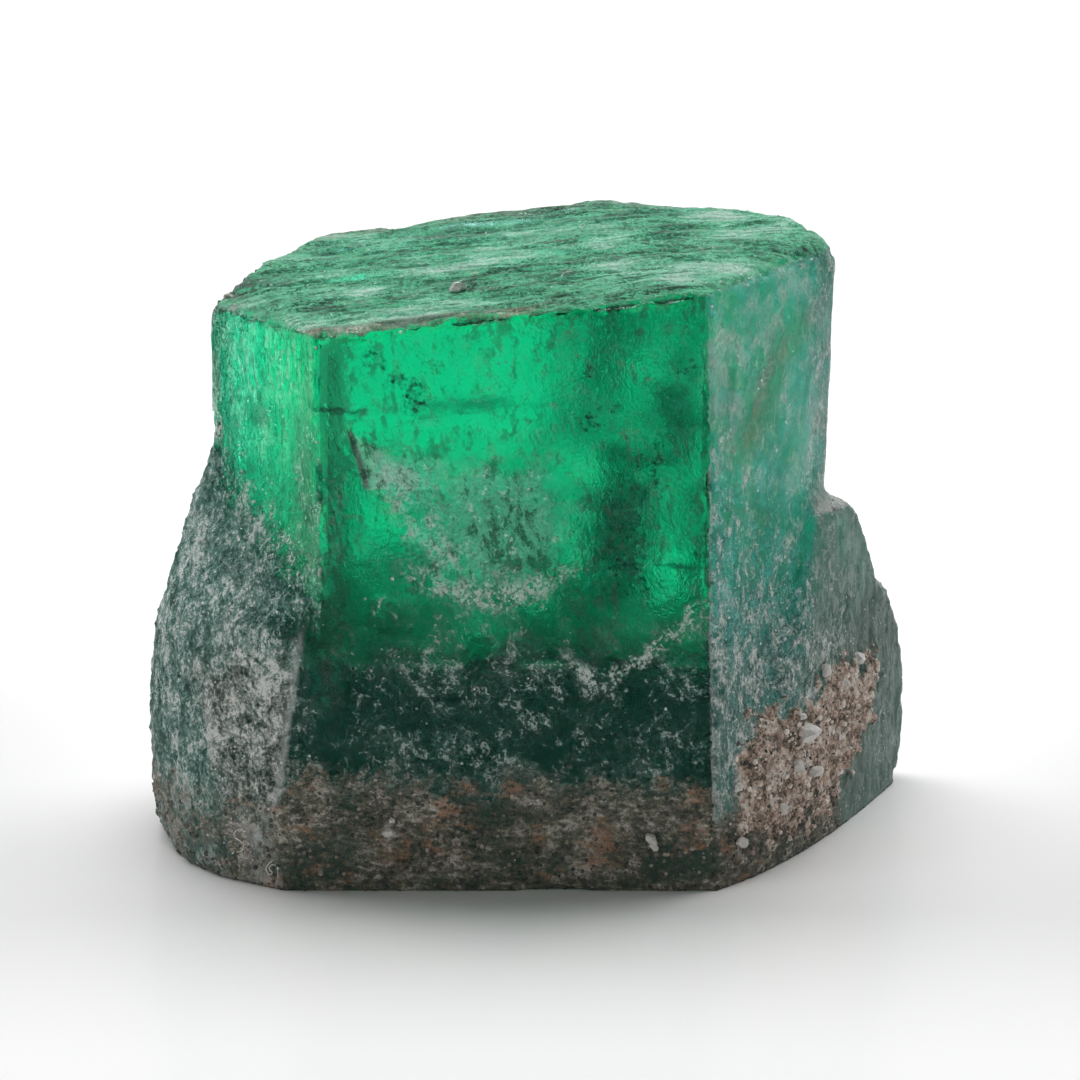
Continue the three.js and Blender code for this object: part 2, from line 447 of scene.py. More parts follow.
def zone_masks(graph, place, normal, skin_line, bloom_line):
    """Where the faces are and what covers them, as numbers from 0 to 1."""
    x, y, z = graph.split(place)
    nx, ny, nz = graph.split(normal)
    wander = graph.noise(place * 0.4, 4.0, 0.55)
    ragged = graph.noise(place * 1.7 + (7.0, 3.0, 1.0), 5.0, 0.65)
    high = graph.smooth(z, 0.72 * SIZE.z, 0.8 * SIZE.z)
    flat = graph.smooth(nz, 0.5, 0.8)
    top = flat * high
    ledge = flat * (1.0 - high)
    front = graph.smooth(-ny, 0.72, 0.93)
    left = graph.smooth(-nx, 0.25, 0.6)
    right = graph.smooth(nx, 0.3, 0.65)
    back = graph.smooth(ny, 0.5, 0.85)
    under = graph.smooth(-nz, 0.5, 0.8)
    past_edge = FRONT_LEFT_EDGE - graph.most(EDGE_KNEE - z, 0.0) * EDGE_LEAN - x
    # A pale line along the front-left edge: partly worn edge, partly a painted highlight.
    pale_edge = graph.smooth(graph.size(past_edge), 0.16, 0.04) * (front + left)
    pale_edge = pale_edge * graph.smooth(z, 7.4, 6.6)
    beyond_edge = graph.smooth(past_edge, -0.04, 0.06) * front
    left = graph.most(left, beyond_edge)
    front = front - beyond_edge

    # The frosting rises to the left and is lobed on the front.
    rise = graph.most(-5.5 - x, 0.0) * 1.35 * (1.0 - back)
    dip = graph.smooth(graph.size(x - 2.0), 1.7, 0.6) * 1.5
    dip = dip + graph.smooth(graph.size(x - DARK_STRIP), 0.6, 0.35) * 3.4
    lobed = 0.6 - dip + graph.noise(place * (0.9, 0.9, 0.5) + (0.0, 4.0, 2.0), 5.0, 0.65) * 3.0
    line = bloom_line + rise + left * 1.2 - back * 1.7 + front * lobed
    depth = line + wander * 3.6 + ragged * 2.6 - z
    low = graph.smooth(depth + front * 0.6, -0.9 - front * 1.0, 1.0 + front * 1.2)
    deep = graph.smooth(depth, -0.4, 3.2)
    right_low = graph.smooth(z + wander * 3.0, 9.8, 6.2)
    right_edge = right * graph.smooth(x + ragged, 5.9, 4.9) * graph.smooth(z + wander * 2.0, 13.0, 11.0)
    edge_strip = left * graph.smooth(x, -6.5, -5.9) * graph.smooth(z, 12.9, 12.5)
    right_corner = right * graph.smooth(x, 7.0, 7.8)
    haze = low * (front * 0.32 + left * (0.3 + 0.52 * deep) + back * 0.95)
    haze = graph.most(haze, right * (0.58 + right_low * 0.1) + right_corner * 0.15 + edge_strip * 0.4)
    haze = graph.least(graph.most(haze, top * 0.46 + ledge * 0.9 + pale_edge * 0.8), 1.0)
    frost = low * (front * 0.17 + left * (0.3 + 0.36 * deep) + back * 0.8)
    sparse = graph.smooth(z + ragged * 3.0, 10.0, 4.8)
    streaked = right * graph.smooth(x, 7.3, 7.8) * graph.smooth(z, 9.4, 10.4) * graph.smooth(z, 14.0, 12.6)
    outer = right * graph.smooth(x - 0.3 * z, 6.3, 7.1) * graph.smooth(z, 7.0, 6.2)
    step_face = right * graph.smooth(x, 7.3, 7.6)
    step_face = step_face * graph.smooth(z + ragged, 9.6, 9.2) * graph.smooth(z, 5.4, 6.2)
    sparse = sparse * (1.0 - step_face * 0.6)
    speckled = right * (0.02 + sparse * (0.46 - outer * 0.38)) + right_edge * 0.3 + streaked * 0.3
    frost = graph.most(frost, speckled)
    frost = graph.most(frost, top * 0.36 + ledge * 0.9 + edge_strip * 0.12)

    # Mica skin at the foot, host rock on the right, grey frosting and the brown rim of the end face.
    skin_top = skin_line - left * 0.6 - right * 0.9 - graph.smooth(x, 7.6, 8.6) * 3.0 + back * 1.5
    skin = graph.smooth(skin_top + wander * 2.2 + ragged * 2.2 - z, -0.8, 1.0) * (1.0 - 0.4 * left)
    patch_top = graph.smooth(4.2 + wander * 3.0 + ragged * 4.0 - z, -0.2, 0.4)
    patch_end = graph.smooth(7.5 + 0.4 * z + wander * 2.4 + ragged * 4.0 - x, -0.12, 0.25)
    patch = right * patch_top * patch_end * graph.smooth(x + ragged * 1.5, 4.9, 6.0)
    patch = patch * graph.smooth(z + ragged * 4.0, 0.2, 1.8)
    green_end = graph.smooth(x + wander * 4.0, -8.1, -9.1)
    grey = left * graph.smooth(z + ragged * 4.0, 7.6, 5.0) * (1.0 - 0.85 * green_end)
    inland = graph.smooth(8.4 + 0.4 * z - x, -0.3, 0.5)
    grey = graph.most(grey, right * graph.smooth(z + wander * 4.0, 7.4, 4.6) * 0.5 * inland + ledge * 0.8)
    front_rim = graph.smooth(y + wander * 2.0, -4.0, -4.7) * graph.smooth(x, 1.5, -1.0)
    corner = graph.smooth(x + ragged * 3.0, -7.4, -8.4)
    back_rim = graph.smooth(y + ragged * 3.0, 4.0, 4.8) * 0.6
    brown_rim = top * graph.most(front_rim, graph.most(corner, back_rim))
    return {
        "top": top, "ledge": ledge, "front": front, "left": left, "right": right, "back": back,
        "under": under, "low": low, "haze": haze, "frost": frost, "skin": skin, "patch": patch,
        "grey": grey, "rim": brown_rim, "pale": graph.most(ledge, pale_edge * 0.7),
        "outer": graph.most(outer, step_face * 0.7),
    }


def relief(graph, place, zone, entry, edge):
    """How far the surface stands out of the flat crystal faces, in millimetres."""
    wave = graph.noise(place * 0.5 + (3.0, 0.0, 0.0), 2.0)
    combed = place * (0.28, 1.25, 0.5) + graph.vector(0.0, wave * 1.2, 0.0)
    ridges = graph.noise(combed, 4.0, 0.55, 0.3) * entry.out("Ridge Height")
    swept = place * (0.6, 2.9, 1.0) + graph.vector(0.0, wave * 3.0, 0.0)
    ridges = ridges + graph.noise(swept, 3.0, 0.5) * 0.15
    ridges = ridges + graph.noise(place * (1.9, 6.6, 1.0), 3.0, 0.6) * 0.07
    lines = graph.noise(place * (3.1, 3.1, 0.2), 3.0, 0.6) * entry.out("Striation")
    lines = lines * (zone["left"] * 0.6 + zone["right"] * 0.6 + zone["back"] * 1.3)
    strata = graph.noise(place * (1.5, 1.5, 4.6), 5.0, 0.62) * entry.out("Skin Relief")
    crinkles = graph.noise(place * (2.6, 2.6, 1.3) + (0.0, 5.0, 0.0), 6.0, 0.7)
    lumps = graph.noise(place * 1.7 + (1.0, 9.0, 4.0), 5.0, 0.6) * 0.5 + 0.12
    low_side = zone["low"] * (zone["left"] * 0.52 + zone["right"] * 0.25 + zone["back"] * 0.5)
    steps = graph.blocks(place * (0.8, 0.0, 1.1) + (0.3, 0.5, 0.2))
    steps = steps * zone["front"] * zone["low"] * (1.0 - zone["skin"])
    height = ridges * zone["top"] + lines + strata * zone["skin"]
    height = height + crinkles * (low_side + zone["ledge"] * 0.3)
    height = height + lumps * zone["patch"] - steps * 0.07
    height = height + graph.noise(place * (0.9, 0.9, 0.6), 3.0) * 0.03
    hammered = graph.noise(place * (1.7, 1.7, 1.0) + (6.0, 1.0, 0.0), 4.0, 0.65)
    height = height + hammered * (1.0 - zone["low"]) * (zone["left"] * 0.16 + zone["right"] * 0.08)
    chips = graph.smooth(graph.noise(place * 1.6 + (2.0, 2.0, 8.0), 6.0, 0.68), -0.1, 0.2)
    return height - edge * (0.2 + chips) * entry.out("Rim Wear")


def soften_creases(graph, shape, place):
    """Rounds the hollows where the foot and the side growths run into the column."""
    x, y, z = graph.split(place)
    facing = graph.smooth(y, 3.0, 1.5)
    foot = graph.smooth(x, -5.7, -6.3) * graph.smooth(x, -9.6, -9.0) * graph.smooth(z, 4.0, 5.5)
    foot = foot * graph.smooth(z, 12.0, 11.0)
    growth = graph.smooth(x, 4.9, 5.6) * graph.smooth(x, 7.9, 7.3) * graph.smooth(z, 1.5, 2.5)
    growth = growth * graph.smooth(z, 9.6, 8.8)
    rounded = graph.add("GeometryNodeBlurAttribute", {"data_type": "FLOAT_VECTOR"},
                        {"Value": place, "Iterations": 60, "Weight": (foot + growth) * facing})
    return graph.add("GeometryNodeSetPosition", None, {"Geometry": shape, "Position": rounded})


def crystal_tree(settings, material):
    """The relief of the crystal's faces, with the zone masks stored for the material."""
    inputs = {"Ridge Height": settings.ridge_height, "Striation": settings.striation,
              "Skin Relief": settings.skin_relief, "Rim Wear": settings.rim_wear,
              "Skin Line": settings.skin_line, "Bloom Line": settings.bloom_line}
    tree, graph, entry = geometry_tree("crystal_relief", inputs)
    place = graph.add("GeometryNodeInputPosition")
    normal = graph.add("GeometryNodeInputNormal")
    blurred = graph.add("GeometryNodeBlurAttribute", {"data_type": "FLOAT_VECTOR"},
                        {"Value": place, "Iterations": 9})
    lift = graph.add("ShaderNodeVectorMath", {"operation": "DOT_PRODUCT"},
                     {0: place - blurred, 1: normal}, "Value")
    edge = graph.smooth(lift, 0.012, 0.07)
    zone = zone_masks(graph, place, normal, entry.out("Skin Line"), entry.out("Bloom Line"))
    height = relief(graph, place, zone, entry, edge)
    z = graph.split(place)[2]
    keep = (1.0 - zone["under"]) * graph.smooth(z, 0.02, 0.5)
    shift = normal * (height * keep)
    shape = soften_creases(graph, entry, place)
    zone["wear"] = edge
    for name in ZONES:
        shape = graph.add("GeometryNodeStoreNamedAttribute", {"data_type": "FLOAT", "domain": "POINT"},
                          {"Geometry": shape, "Name": name, "Value": zone[name]})
    shape = graph.add("GeometryNodeSetPosition", None, {"Geometry": shape, "Offset": shift})
    shape = graph.add("GeometryNodeRealizeInstances", None, {"Geometry": shape})
    shape = graph.add("GeometryNodeSetMaterial", None, {"Geometry": shape, "Material": material})
    graph.add("NodeGroupOutput", None, {"Geometry": shape})
    return tree, inputs


def milky_film(graph, place):
    """The cloud's milky room, its granular rims, and the flat-sided slab at its upper left."""
    x, _, z = graph.split(place)
    level = place * (1.0, 0.0, 1.0)
    ragged = graph.noise(place * 1.3 + (2.0, 0.0, 9.0), 5.0, 0.72, 0.4)
    main = lobe(graph, level, (-1.05, 0.0, 9.94), (2.5, 1.0, 2.1))
    arm = lobe(graph, level, (-3.0, 0.0, 11.1), (1.5, 1.0, 1.0))
    cloud = graph.smooth(graph.most(main, arm) + ragged * 1.5, 0.0, 0.5)
    rim = graph.smooth(main + ragged * 0.5, -0.2, 0.0) * graph.smooth(main + ragged * 0.5, 0.34, 0.1)
    rim = rim * graph.smooth(z, 9.3, 8.5)
    beside = (x + 3.6) * 0.766 + (z - 10.97) * 0.644
    along = (x + 3.6) * 0.644 - (z - 10.97) * 0.766
    band = graph.smooth(graph.size(beside + ragged * 1.5), 0.75, 0.1)
    band = band * graph.smooth(along, -0.8, 0.2) * graph.smooth(along, 3.1, 2.5)
    seam_height = SEAM_FOOT + graph.smooth(graph.size(x - SEAM_MIDDLE), 0.0, 3.2) * 2.1
    seam = graph.smooth(graph.size(z - seam_height + ragged * 1.6), 0.42, 0.08)
    seam = seam * graph.smooth(x + ragged * 3.0, 0.2, 1.4)
    rims = graph.most(graph.most(rim, band * 0.75), seam)
    run = x - SLAB_SIDE + (z - SLAB_TOP) * 0.28
    slope = SLAB_TOP - (x - SLAB_SIDE) * 0.64 - z
    slab = graph.smooth(run, 0.0, 0.06) * graph.smooth(slope, -0.05, 0.2)
    slab = slab * graph.smooth(z, SLAB_FOOT - 0.03, SLAB_FOOT + 0.04)
    slab = slab * graph.smooth(x, -1.6, -3.4)
    side = graph.smooth(run + ragged * 0.2, 0.3, 0.12) * slab
    return cloud, rims, slab, side


def clear_marks(graph, place, zone, warp, drift):
    """What marks the clear faces: pale threads, dark threads and fine cracks."""
    x, _, z = graph.split(place)
    front, left = zone["front"], zone["left"]
    clear = graph.most(front, left) * graph.smooth(zone["frost"], 0.12, 0.02)
    threads = graph.noise(place * (4.2, 4.2, 1.9) + warp, 4.0, 0.78)
    strip = graph.smooth(graph.size(x - DARK_STRIP), 0.5, 0.3) * graph.smooth(z, 3.0, 4.0) * front
    pale = graph.smooth(threads + drift * 0.8, 0.02, 0.16) * clear
    dark = graph.smooth(drift * -0.7 - threads - left * 0.02 + strip * 0.12, 0.0, 0.14) * clear
    cracks = graph.veins(place * (1.6, 1.6, 0.8) + warp * 0.5, 0.012, 5.0)
    cracks = cracks * graph.smooth(drift, -0.1, 0.1) * clear
    return pale, dark, cracks


def emerald_material(settings):
    """Green beryl seen through, under haze, frosting, brown skin and grown-on rock."""
    material, graph = new_material("emerald")
    place = object_place(graph)
    x, _, z = graph.split(place)
    zone = {name: attribute(graph, name) for name in ZONES}
    haze, frost, top, front = zone["haze"], zone["frost"], zone["top"], zone["front"]
    left, right = zone["left"], zone["right"]
    # Patterns, coarse and fine.
    broad = graph.noise(place * 1.1, 5.0, 0.62)
    warp = graph.vector(broad, graph.noise(place * 1.1 + (5.0, 3.0, 8.0), 4.0, 0.6), broad * -1.0) * 3.0
    grit = graph.noise(place * 9.0, 3.0, 0.75)
    fine = graph.noise(place * 26.0, 1.0, 0.6)
    crinkle = graph.noise(place * (9.0, 9.0, 5.5) + warp * 0.3, 3.0, 0.75)
    clump = graph.noise(place * (2.4, 2.4, 1.7) + warp, 4.0, 0.7)
    strata = graph.noise(place * (3.0, 3.0, 7.0) + warp, 4.0, 0.72)
    sway = graph.vector(0.0, graph.noise(place * 0.5, 2.0) * 5.0, 0.0)
    combed = graph.noise(place * (0.7, 5.0, 2.0) + sway, 4.0, 0.72)
    patches = graph.noise(place * (0.36, 0.6, 0.4) + (1.0, 6.0, 2.0), 4.0, 0.55)
    fine_veins = graph.veins(place * 3.1 + (2.0, 7.0, 1.0), 0.035, 4.0)
    veins = graph.most(graph.veins(place * 1.2, 0.025, 5.0), fine_veins)
    crowd = graph.noise(place * 1.1, 3.0)
    # Painted glints: small bright dots that stand for the sparkle of the frosted faces.
    sparks = graph.dots(place * 9.0, 0.3, 0.3) * graph.smooth(crowd, 0.0, 0.14)
    flecks = graph.dots(place * (3.0, 3.0, 2.4) + warp * 2.0, 0.42, 0.4) * graph.smooth(grit, -0.05, 0.1)
    cloud, rims, slab, side = milky_film(graph, place)
    cloud, rims, slab, side = cloud * front, rims * front, slab * front, side * front
    slips = graph.blocks(place * (0.8, 0.0, 1.1) + (0.3, 0.5, 0.2)) - 0.5

    # How much of the glass is left bare.
    backed = graph.smooth(back_film(graph, place) + grit * 0.8, 0.1, 0.9) * zone["back"]
    hazy = haze + broad * (0.8 + right * 0.5) + grit * 0.25 + top * (patches * 1.6 + combed * 0.8)
    soft = graph.smooth(hazy, 0.0, 1.0) * graph.smooth(haze, 0.0, 0.06)
    soft = graph.most(soft, backed)
    milk = cloud * (0.46 + grit * 0.5 + clump * 0.3) + slab * (0.46 + clump * 0.3)
    soft = graph.least(graph.most(soft, milk), 1.0)
    grain = crinkle * (1.1 - 0.6 * front - 0.7 * top) + grit * (0.7 - front * 0.2) + combed * top
    grain = grain - right * crinkle * 0.4 + clump * (0.9 + front * 0.3 + right * 0.6 - 0.6 * top)
    rough_rims = rims * graph.smooth(grit + clump * 0.8, -0.12, 0.1)
    thick = frost + veins * graph.smooth(frost, 0.05, 0.3) * 0.7 + front * slips * 0.2
    grains = graph.smooth((thick - 0.5) * 0.62 + grain + zone["wear"] * 0.12, -0.04, 0.06)
    grains = graph.most(grains * graph.smooth(frost, 0.02, 0.12), rough_rims)
    brown = graph.smooth(zone["skin"] + strata * 0.9 + broad * 1.4 + grit * 0.8, 0.1, 0.9)
    rock = graph.smooth(zone["patch"] + grit * 0.5, 0.3, 0.6)
    # Painted glints on the frosted and hazy faces, fewer on the front, together with the cloud's pale
    # flecks.
    lit = sparks * graph.smooth(frost + haze * 0.5, 0.1, 0.5) * (1.0 - front * 0.8)
    lit = graph.most(lit, flecks * cloud * 0.8)
    bare = (1.0 - grains * 0.85) * (1.0 - soft * 0.92) * (1.0 - brown * 0.92) * (1.0 - rock)
    bare = bare * (1.0 - lit * 0.9) * (1.0 - side * 0.9)
    drift = graph.noise(place * 0.5 + (4.0, 1.0, 7.0), 4.0, 0.6)
    pale, dark, cracks = clear_marks(graph, place, zone, warp, drift)
    bare = bare * (1.0 - pale * 0.1) * (1.0 - dark * (0.55 - left * 0.25)) * (1.0 - cracks * 0.75)

    # The colour of the crust.
    tone = grit * 1.3 + crinkle * 1.7 * (1.0 - 0.7 * front) + clump * 2.6 + veins * 0.16 + 0.48
    tone = tone + front * slips * 0.25 + drift * (left * 1.6 + front * 1.2)
    teal = graph.ramp(tone, TEAL)
    wet = broad * 2.2 + drift * 1.8 + grit * 0.9 + clump * 0.7 + veins * right * 0.08
    wet = wet + 0.62 - graph.smooth(z, 14.0, 6.5) * 0.24
    marine = graph.ramp(wet, MARINE)
    ashen = graph.ramp(tone, ASHEN)
    dusk = graph.ramp(tone, DUSK)
    mossy = graph.ramp(grit * 0.6 + combed * 1.1 + patches * 1.9 + 0.47, MOSSY)
    mossy = graph.tint(graph.smooth(patches, 0.05, 0.2) * 0.5, mossy, MOSS_WASH)
    umber = graph.ramp(strata * 2.0 + grit * 1.0 + broad * 1.6 + 0.5, UMBER)
    mossed = graph.smooth(graph.noise(place * (0.45, 0.45, 0.8) + (8.0, 2.0, 5.0), 5.0, 0.66), 0.0, 0.14)
    umber = graph.tint(mossed * 0.75, umber, MOSS)
    rusty = graph.smooth(graph.noise(place * (0.8, 0.8, 1.2) + (4.0, 4.0, 4.0), 5.0, 0.68), 0.03, 0.14)
    umber = graph.tint(rusty * graph.smooth(grit, -0.2, 0.1) * 0.85, umber, RUST)
    pinkish = graph.ramp(grit * 1.1 + clump * 2.4 + broad * 1.8 - veins * 0.25 + 0.60, PINKISH)
    stain = graph.smooth(graph.size(x - 6.2 - (z - 12.9) * STAIN_LEAN + crowd * 1.6), 0.75, 0.1)
    stain = stain * graph.smooth(z, 10.9, 11.8) * graph.smooth(z, 14.9, 14.1) * right
    colour = graph.tint(front * 0.85, teal, dusk)
    colour = graph.tint(right * graph.smooth(haze + clump, 0.8, 0.45), colour, marine)
    colour = graph.tint(zone["grey"], colour, ashen)
    colour = graph.tint(zone["outer"] * 0.75, colour, DULL_TEAL)
    # Worn edges and frosted ledges turn paler; the line along the front-left edge adds a painted highlight.
    worn = graph.smooth(zone["wear"] + grit, 0.35, 0.8) * graph.smooth(frost, 0.05, 0.2) * (1.0 - top)
    colour = graph.tint(graph.most(zone["pale"] * 0.6, worn * 0.6), colour, PALE_WEAR_AND_HIGHLIGHT)
    colour = graph.tint(top, colour, mossy)
    colour = graph.tint(graph.most(zone["rim"] * 0.8, stain * 0.7), colour, umber)
    milky = graph.ramp(grit * 1.2 + clump * 1.0 + 0.42, MILKY)
    colour = graph.tint(graph.most(cloud, slab) * 0.9, colour, milky)
    colour = graph.tint(graph.most(rough_rims * 0.85, slab * 0.35), colour, RIM_MILK)
    colour = graph.tint(side * 0.8, colour, SLAB_SHADOW)
    colour = graph.tint(pale * 0.8, colour, BRIGHT_THREAD)
    colour = graph.tint(graph.most(dark, cracks) * 0.9, colour, DARK_THREAD)
    colour = graph.tint(brown, colour, umber)
    colour = graph.tint(rock, colour, pinkish)
    colour = graph.tint(lit, colour, GLINT_AND_FLECK_WHITE)

    # Glass under crust, with a volume that gives the green.
    rough_bump = graph.add("ShaderNodeBump", None, {
        "Strength": 1.0, "Distance": 0.12 * MM,
        "Height": grit + fine * 0.5 + clump + crinkle * (1.0 - top) + combed * top})
    hammered = graph.noise(place * (4.2, 4.2, 2.4) + warp, 3.0, 0.66)
    ripple = crinkle * (0.15 + left * 0.6 + right * 0.3)
    ripple = ripple + hammered * (left * 1.2 + right * 0.8 + front * 0.4)
    glass_bump = graph.add("ShaderNodeBump", None, {
        "Strength": 1.0, "Distance": 0.07 * MM, "Height": ripple + grit * 0.08})
    glass_rough = 0.03 + graph.smooth(haze + broad * 0.3, 0.0, 0.7) * 0.33
    glass = graph.add("ShaderNodeBsdfPrincipled", None, {
        "Base Color": (1.0, 1.0, 1.0), "Roughness": glass_rough, "IOR": settings.refraction,
        "Transmission Weight": 1.0, "Specular Tint": (0.05, 0.5, 0.36, 1.0), "Normal": glass_bump})
    crust = graph.add("ShaderNodeBsdfPrincipled", None, {
        "Base Color": colour, "Roughness": 0.62 - lit * 0.3, "Normal": rough_bump})
    surface = graph.add("ShaderNodeMixShader", None, {0: bare, 1: crust, 2: glass})
    volume = graph.add("ShaderNodeVolumeAbsorption", None, {
        "Color": tuple(settings.passed_colour), "Density": settings.depth_of_colour})
    graph.add("ShaderNodeOutputMaterial", None, {"Surface": surface, "Volume": volume})
    return material


class EMERALD_OT_crystal(bpy.types.Operator):
    """Make the crystal itself, with its ridged end, striated sides and crusted foot"""

    bl_idname = "emerald.crystal"
    bl_label = "Crystal"

    def execute(self, context):
        settings = context.scene.emerald_crystal
        flat = link("flat_faces", merged_node_mesh(1.0 / MM))
        piece = link("crystal", merged_node_mesh(1.0 / MM))
        grain = piece.modifiers.new("grain", "REMESH")
        grain.mode = "VOXEL"
        grain.voxel_size = settings.grain * 1.0
        grain.use_smooth_shade = True
        onto = piece.modifiers.new("onto", "SHRINKWRAP")
        onto.target = flat
        onto.wrap_method = "NEAREST_SURFACEPOINT"
        keep_result(piece)
        tree, inputs = crystal_tree(settings, emerald_material(settings))
        run_tree(piece, tree, inputs)
        piece.data.transform(Matrix.Scale(MM, 4))
        bpy.data.meshes.remove(flat.data)
        for face in piece.data.polygons:
            face.use_smooth = True
        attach(piece, BODY)
        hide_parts(NODE)
        return {"FINISHED"}


# ---------------------------------------------------------------------------------------------------
# Grains: small shapes scattered over the crystal or through it


# Places are fractions of the crystal's width, depth and height. Each quartz grain also has its size.
QUARTZ_GRAINS = (
    (0.853, 0.31, 0.202, 0.85), (0.836, 0.27, 0.163, 0.6), (0.885, 0.43, 0.288, 0.5),
    (0.928, 0.62, 0.270, 0.5), (0.908, 0.52, 0.252, 0.34), (0.866, 0.35, 0.128, 0.5),
    (0.770, 0.08, 0.160, 0.42), (0.771, 0.08, 0.068, 0.4), (0.845, 0.29, 0.240, 0.36),
    (0.815, 0.20, 0.105, 0.38), (0.900, 0.48, 0.160, 0.3), (0.657, 0.0, 0.090, 0.42),
    (0.661, 0.0, 0.075, 0.3), (0.317, 0.0, 0.100, 0.36), (0.321, 0.0, 0.120, 0.26),
    (0.408, 0.26, 0.955, 0.5), (0.106, 0.52, 0.905, 0.34),
)
# Each fibre of lint: its place, its reach, its curl in radians and its heading in degrees.
FIBRES = (
    (0.965, 0.76, 0.150, 0.75, 1.7, 60), (0.115, 0.07, 0.075, 0.9, 1.2, 100),
    (0.165, 0.03, 0.030, 0.6, 2.2, 20), (0.150, 0.03, 0.165, 0.5, 1.6, 75),
    (0.552, 0.30, 0.960, 0.45, 0.8, 95),
)


def spot(across, back, up):
    """A place in the crystal's box, in millimetres, from fractions of its width, depth and height."""
    return LOW / MM + Vector((across * SIZE.x, back * SIZE.y, up * SIZE.z))


def random_number(graph, low, high, seed):
    sockets = {2: low, 3: high, "Seed": seed}
    return graph.add("FunctionNodeRandomValue", {"data_type": "FLOAT"}, sockets, 1)


def random_vector(graph, low, high, seed):
    sockets = {0: low, 1: high, "Seed": seed}
    return graph.add("FunctionNodeRandomValue", {"data_type": "FLOAT_VECTOR"}, sockets, 0)


def crumb(graph):
    """A rounded lump of 20 faces, 1 across."""
    return graph.add("GeometryNodeMeshIcoSphere", None, {"Radius": 0.5, "Subdivisions": 1}, "Mesh")


def plate(graph, thickness=0.16):
    """A six-sided plate, 1 across."""
    sockets = {"Vertices": 6, "Radius": 0.5, "Depth": thickness}
    return graph.add("GeometryNodeMeshCylinder", {"fill_type": "NGON"}, sockets, "Mesh")


def needle(graph):
    """A four-sided upright needle, 1 long and 1 thick until it is scaled."""
    sockets = {"Vertices": 4, "Radius": 0.5, "Depth": 1.0}
    return graph.add("GeometryNodeMeshCylinder", {"fill_type": "NGON"}, sockets, "Mesh")


def instanced(graph, points, shape, rotation, scale, seed, jag, material):
    """Real grains at the points: each has its own size, turn and shade, and jag makes it uneven."""
    grains = graph.add("GeometryNodeInstanceOnPoints", None, {
        "Points": points, "Instance": shape, "Rotation": rotation, "Scale": scale}, "Instances")
    grains = graph.add("GeometryNodeStoreNamedAttribute", {"data_type": "FLOAT", "domain": "INSTANCE"}, {
        "Geometry": grains, "Name": "shade", "Value": random_number(graph, 0.0, 1.0, seed)})
    grains = graph.add("GeometryNodeRealizeInstances", None, {"Geometry": grains})
    place = graph.add("GeometryNodeInputPosition")
    uneven = graph.add("ShaderNodeTexNoise", {"noise_dimensions": "3D"}, {
        "Vector": place, "Scale": 1.0 / (jag * 3.0), "Detail": 2.0}, "Color") - (0.5, 0.5, 0.5)
    grains = graph.add("GeometryNodeSetPosition", None, {
        "Geometry": grains, "Offset": uneven * (jag * 2.0)})
    return graph.add("GeometryNodeSetMaterial", None, {"Geometry": grains, "Material": material})


def surface_points(graph, shape, thickness, seed):
    """Points on the crystal, as many per square millimetre as given, and the turn that lays a grain flat."""
    points = graph.add("GeometryNodeDistributePointsOnFaces", {"distribute_method": "RANDOM"}, {
        "Mesh": shape, "Density": thickness, "Seed": seed}, "Points")
    return points, points.out("Rotation")


def space_points(graph, count, room_low, room_high, fill, seed):
    """Points through a box-shaped room, kept where fill beats a random number."""
    spread = random_vector(graph, tuple(room_low), tuple(room_high), seed)
    points = graph.add("GeometryNodePoints", None, {"Count": count, "Position": spread}, 0)
    place = graph.add("GeometryNodeInputPosition")
    spare = graph.add("FunctionNodeCompare", {"data_type": "FLOAT", "operation": "LESS_THAN"}, {
        0: fill(graph, place), 1: random_number(graph, 0.0, 1.0, seed + 1)})
    return graph.add("GeometryNodeDeleteGeometry", {"domain": "POINT"}, {
        "Geometry": points, "Selection": spare})


def mask(graph, name):
    return graph.add("GeometryNodeInputNamedAttribute", {"data_type": "FLOAT"}, {"Name": name}, 0)


def tilted(graph, rotation, most, seed):
    """A turn, tilted by up to an angle and spun freely."""
    tilt = random_vector(graph, (-most, -most, -math.pi), (most, most, math.pi), seed)
    return graph.add("FunctionNodeRotateRotation", {"rotation_space": "LOCAL"}, {
        0: rotation, 1: tilt})


def tumbled(graph, seed):
    return random_vector(graph, (0.0, 0.0, 0.0), (2 * math.pi, 2 * math.pi, 2 * math.pi), seed)


def finish_grains(name, tree, inputs, source):
    """Runs a grain tree on a copy of a mesh in millimetres and gives the finished piece."""
    piece = link(name, source)
    run_tree(piece, tree, inputs)
    piece.data.transform(Matrix.Scale(MM, 4))
    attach(piece, BODY)
    return piece


def crystal_surface():
    """A copy of the finished crystal's mesh, in millimetres."""
    mesh = bpy.data.objects["crystal"].data.copy()
    mesh.transform(Matrix.Scale(1.0 / MM, 4))
    return mesh


def empty_mesh():
    return bpy.data.meshes.new("start")


def shade_material(name, stops, roughness, bump=0.02, glint=0.0):
    """A grain's finish: its colour comes from the grain's own shade and a fine mottle."""
    material, graph = new_material(name)
    place = object_place(graph)
    mottle = graph.noise(place * 14.0, 4.0, 0.65)
    shade = attribute(graph, "shade")
    colour = graph.ramp(shade * 0.8 + 0.1 + mottle * 0.9, stops)
    dull = roughness + mottle * 0.3 - graph.smooth(shade, 0.8, 0.95) * glint
    surface = graph.add("ShaderNodeBsdfPrincipled", None, {
        "Base Color": colour, "Roughness": dull,
        "Normal": graph.add("ShaderNodeBump", None, {"Distance": bump * MM, "Height": mottle})})
    graph.add("ShaderNodeOutputMaterial", None, {"Surface": surface})
    return material


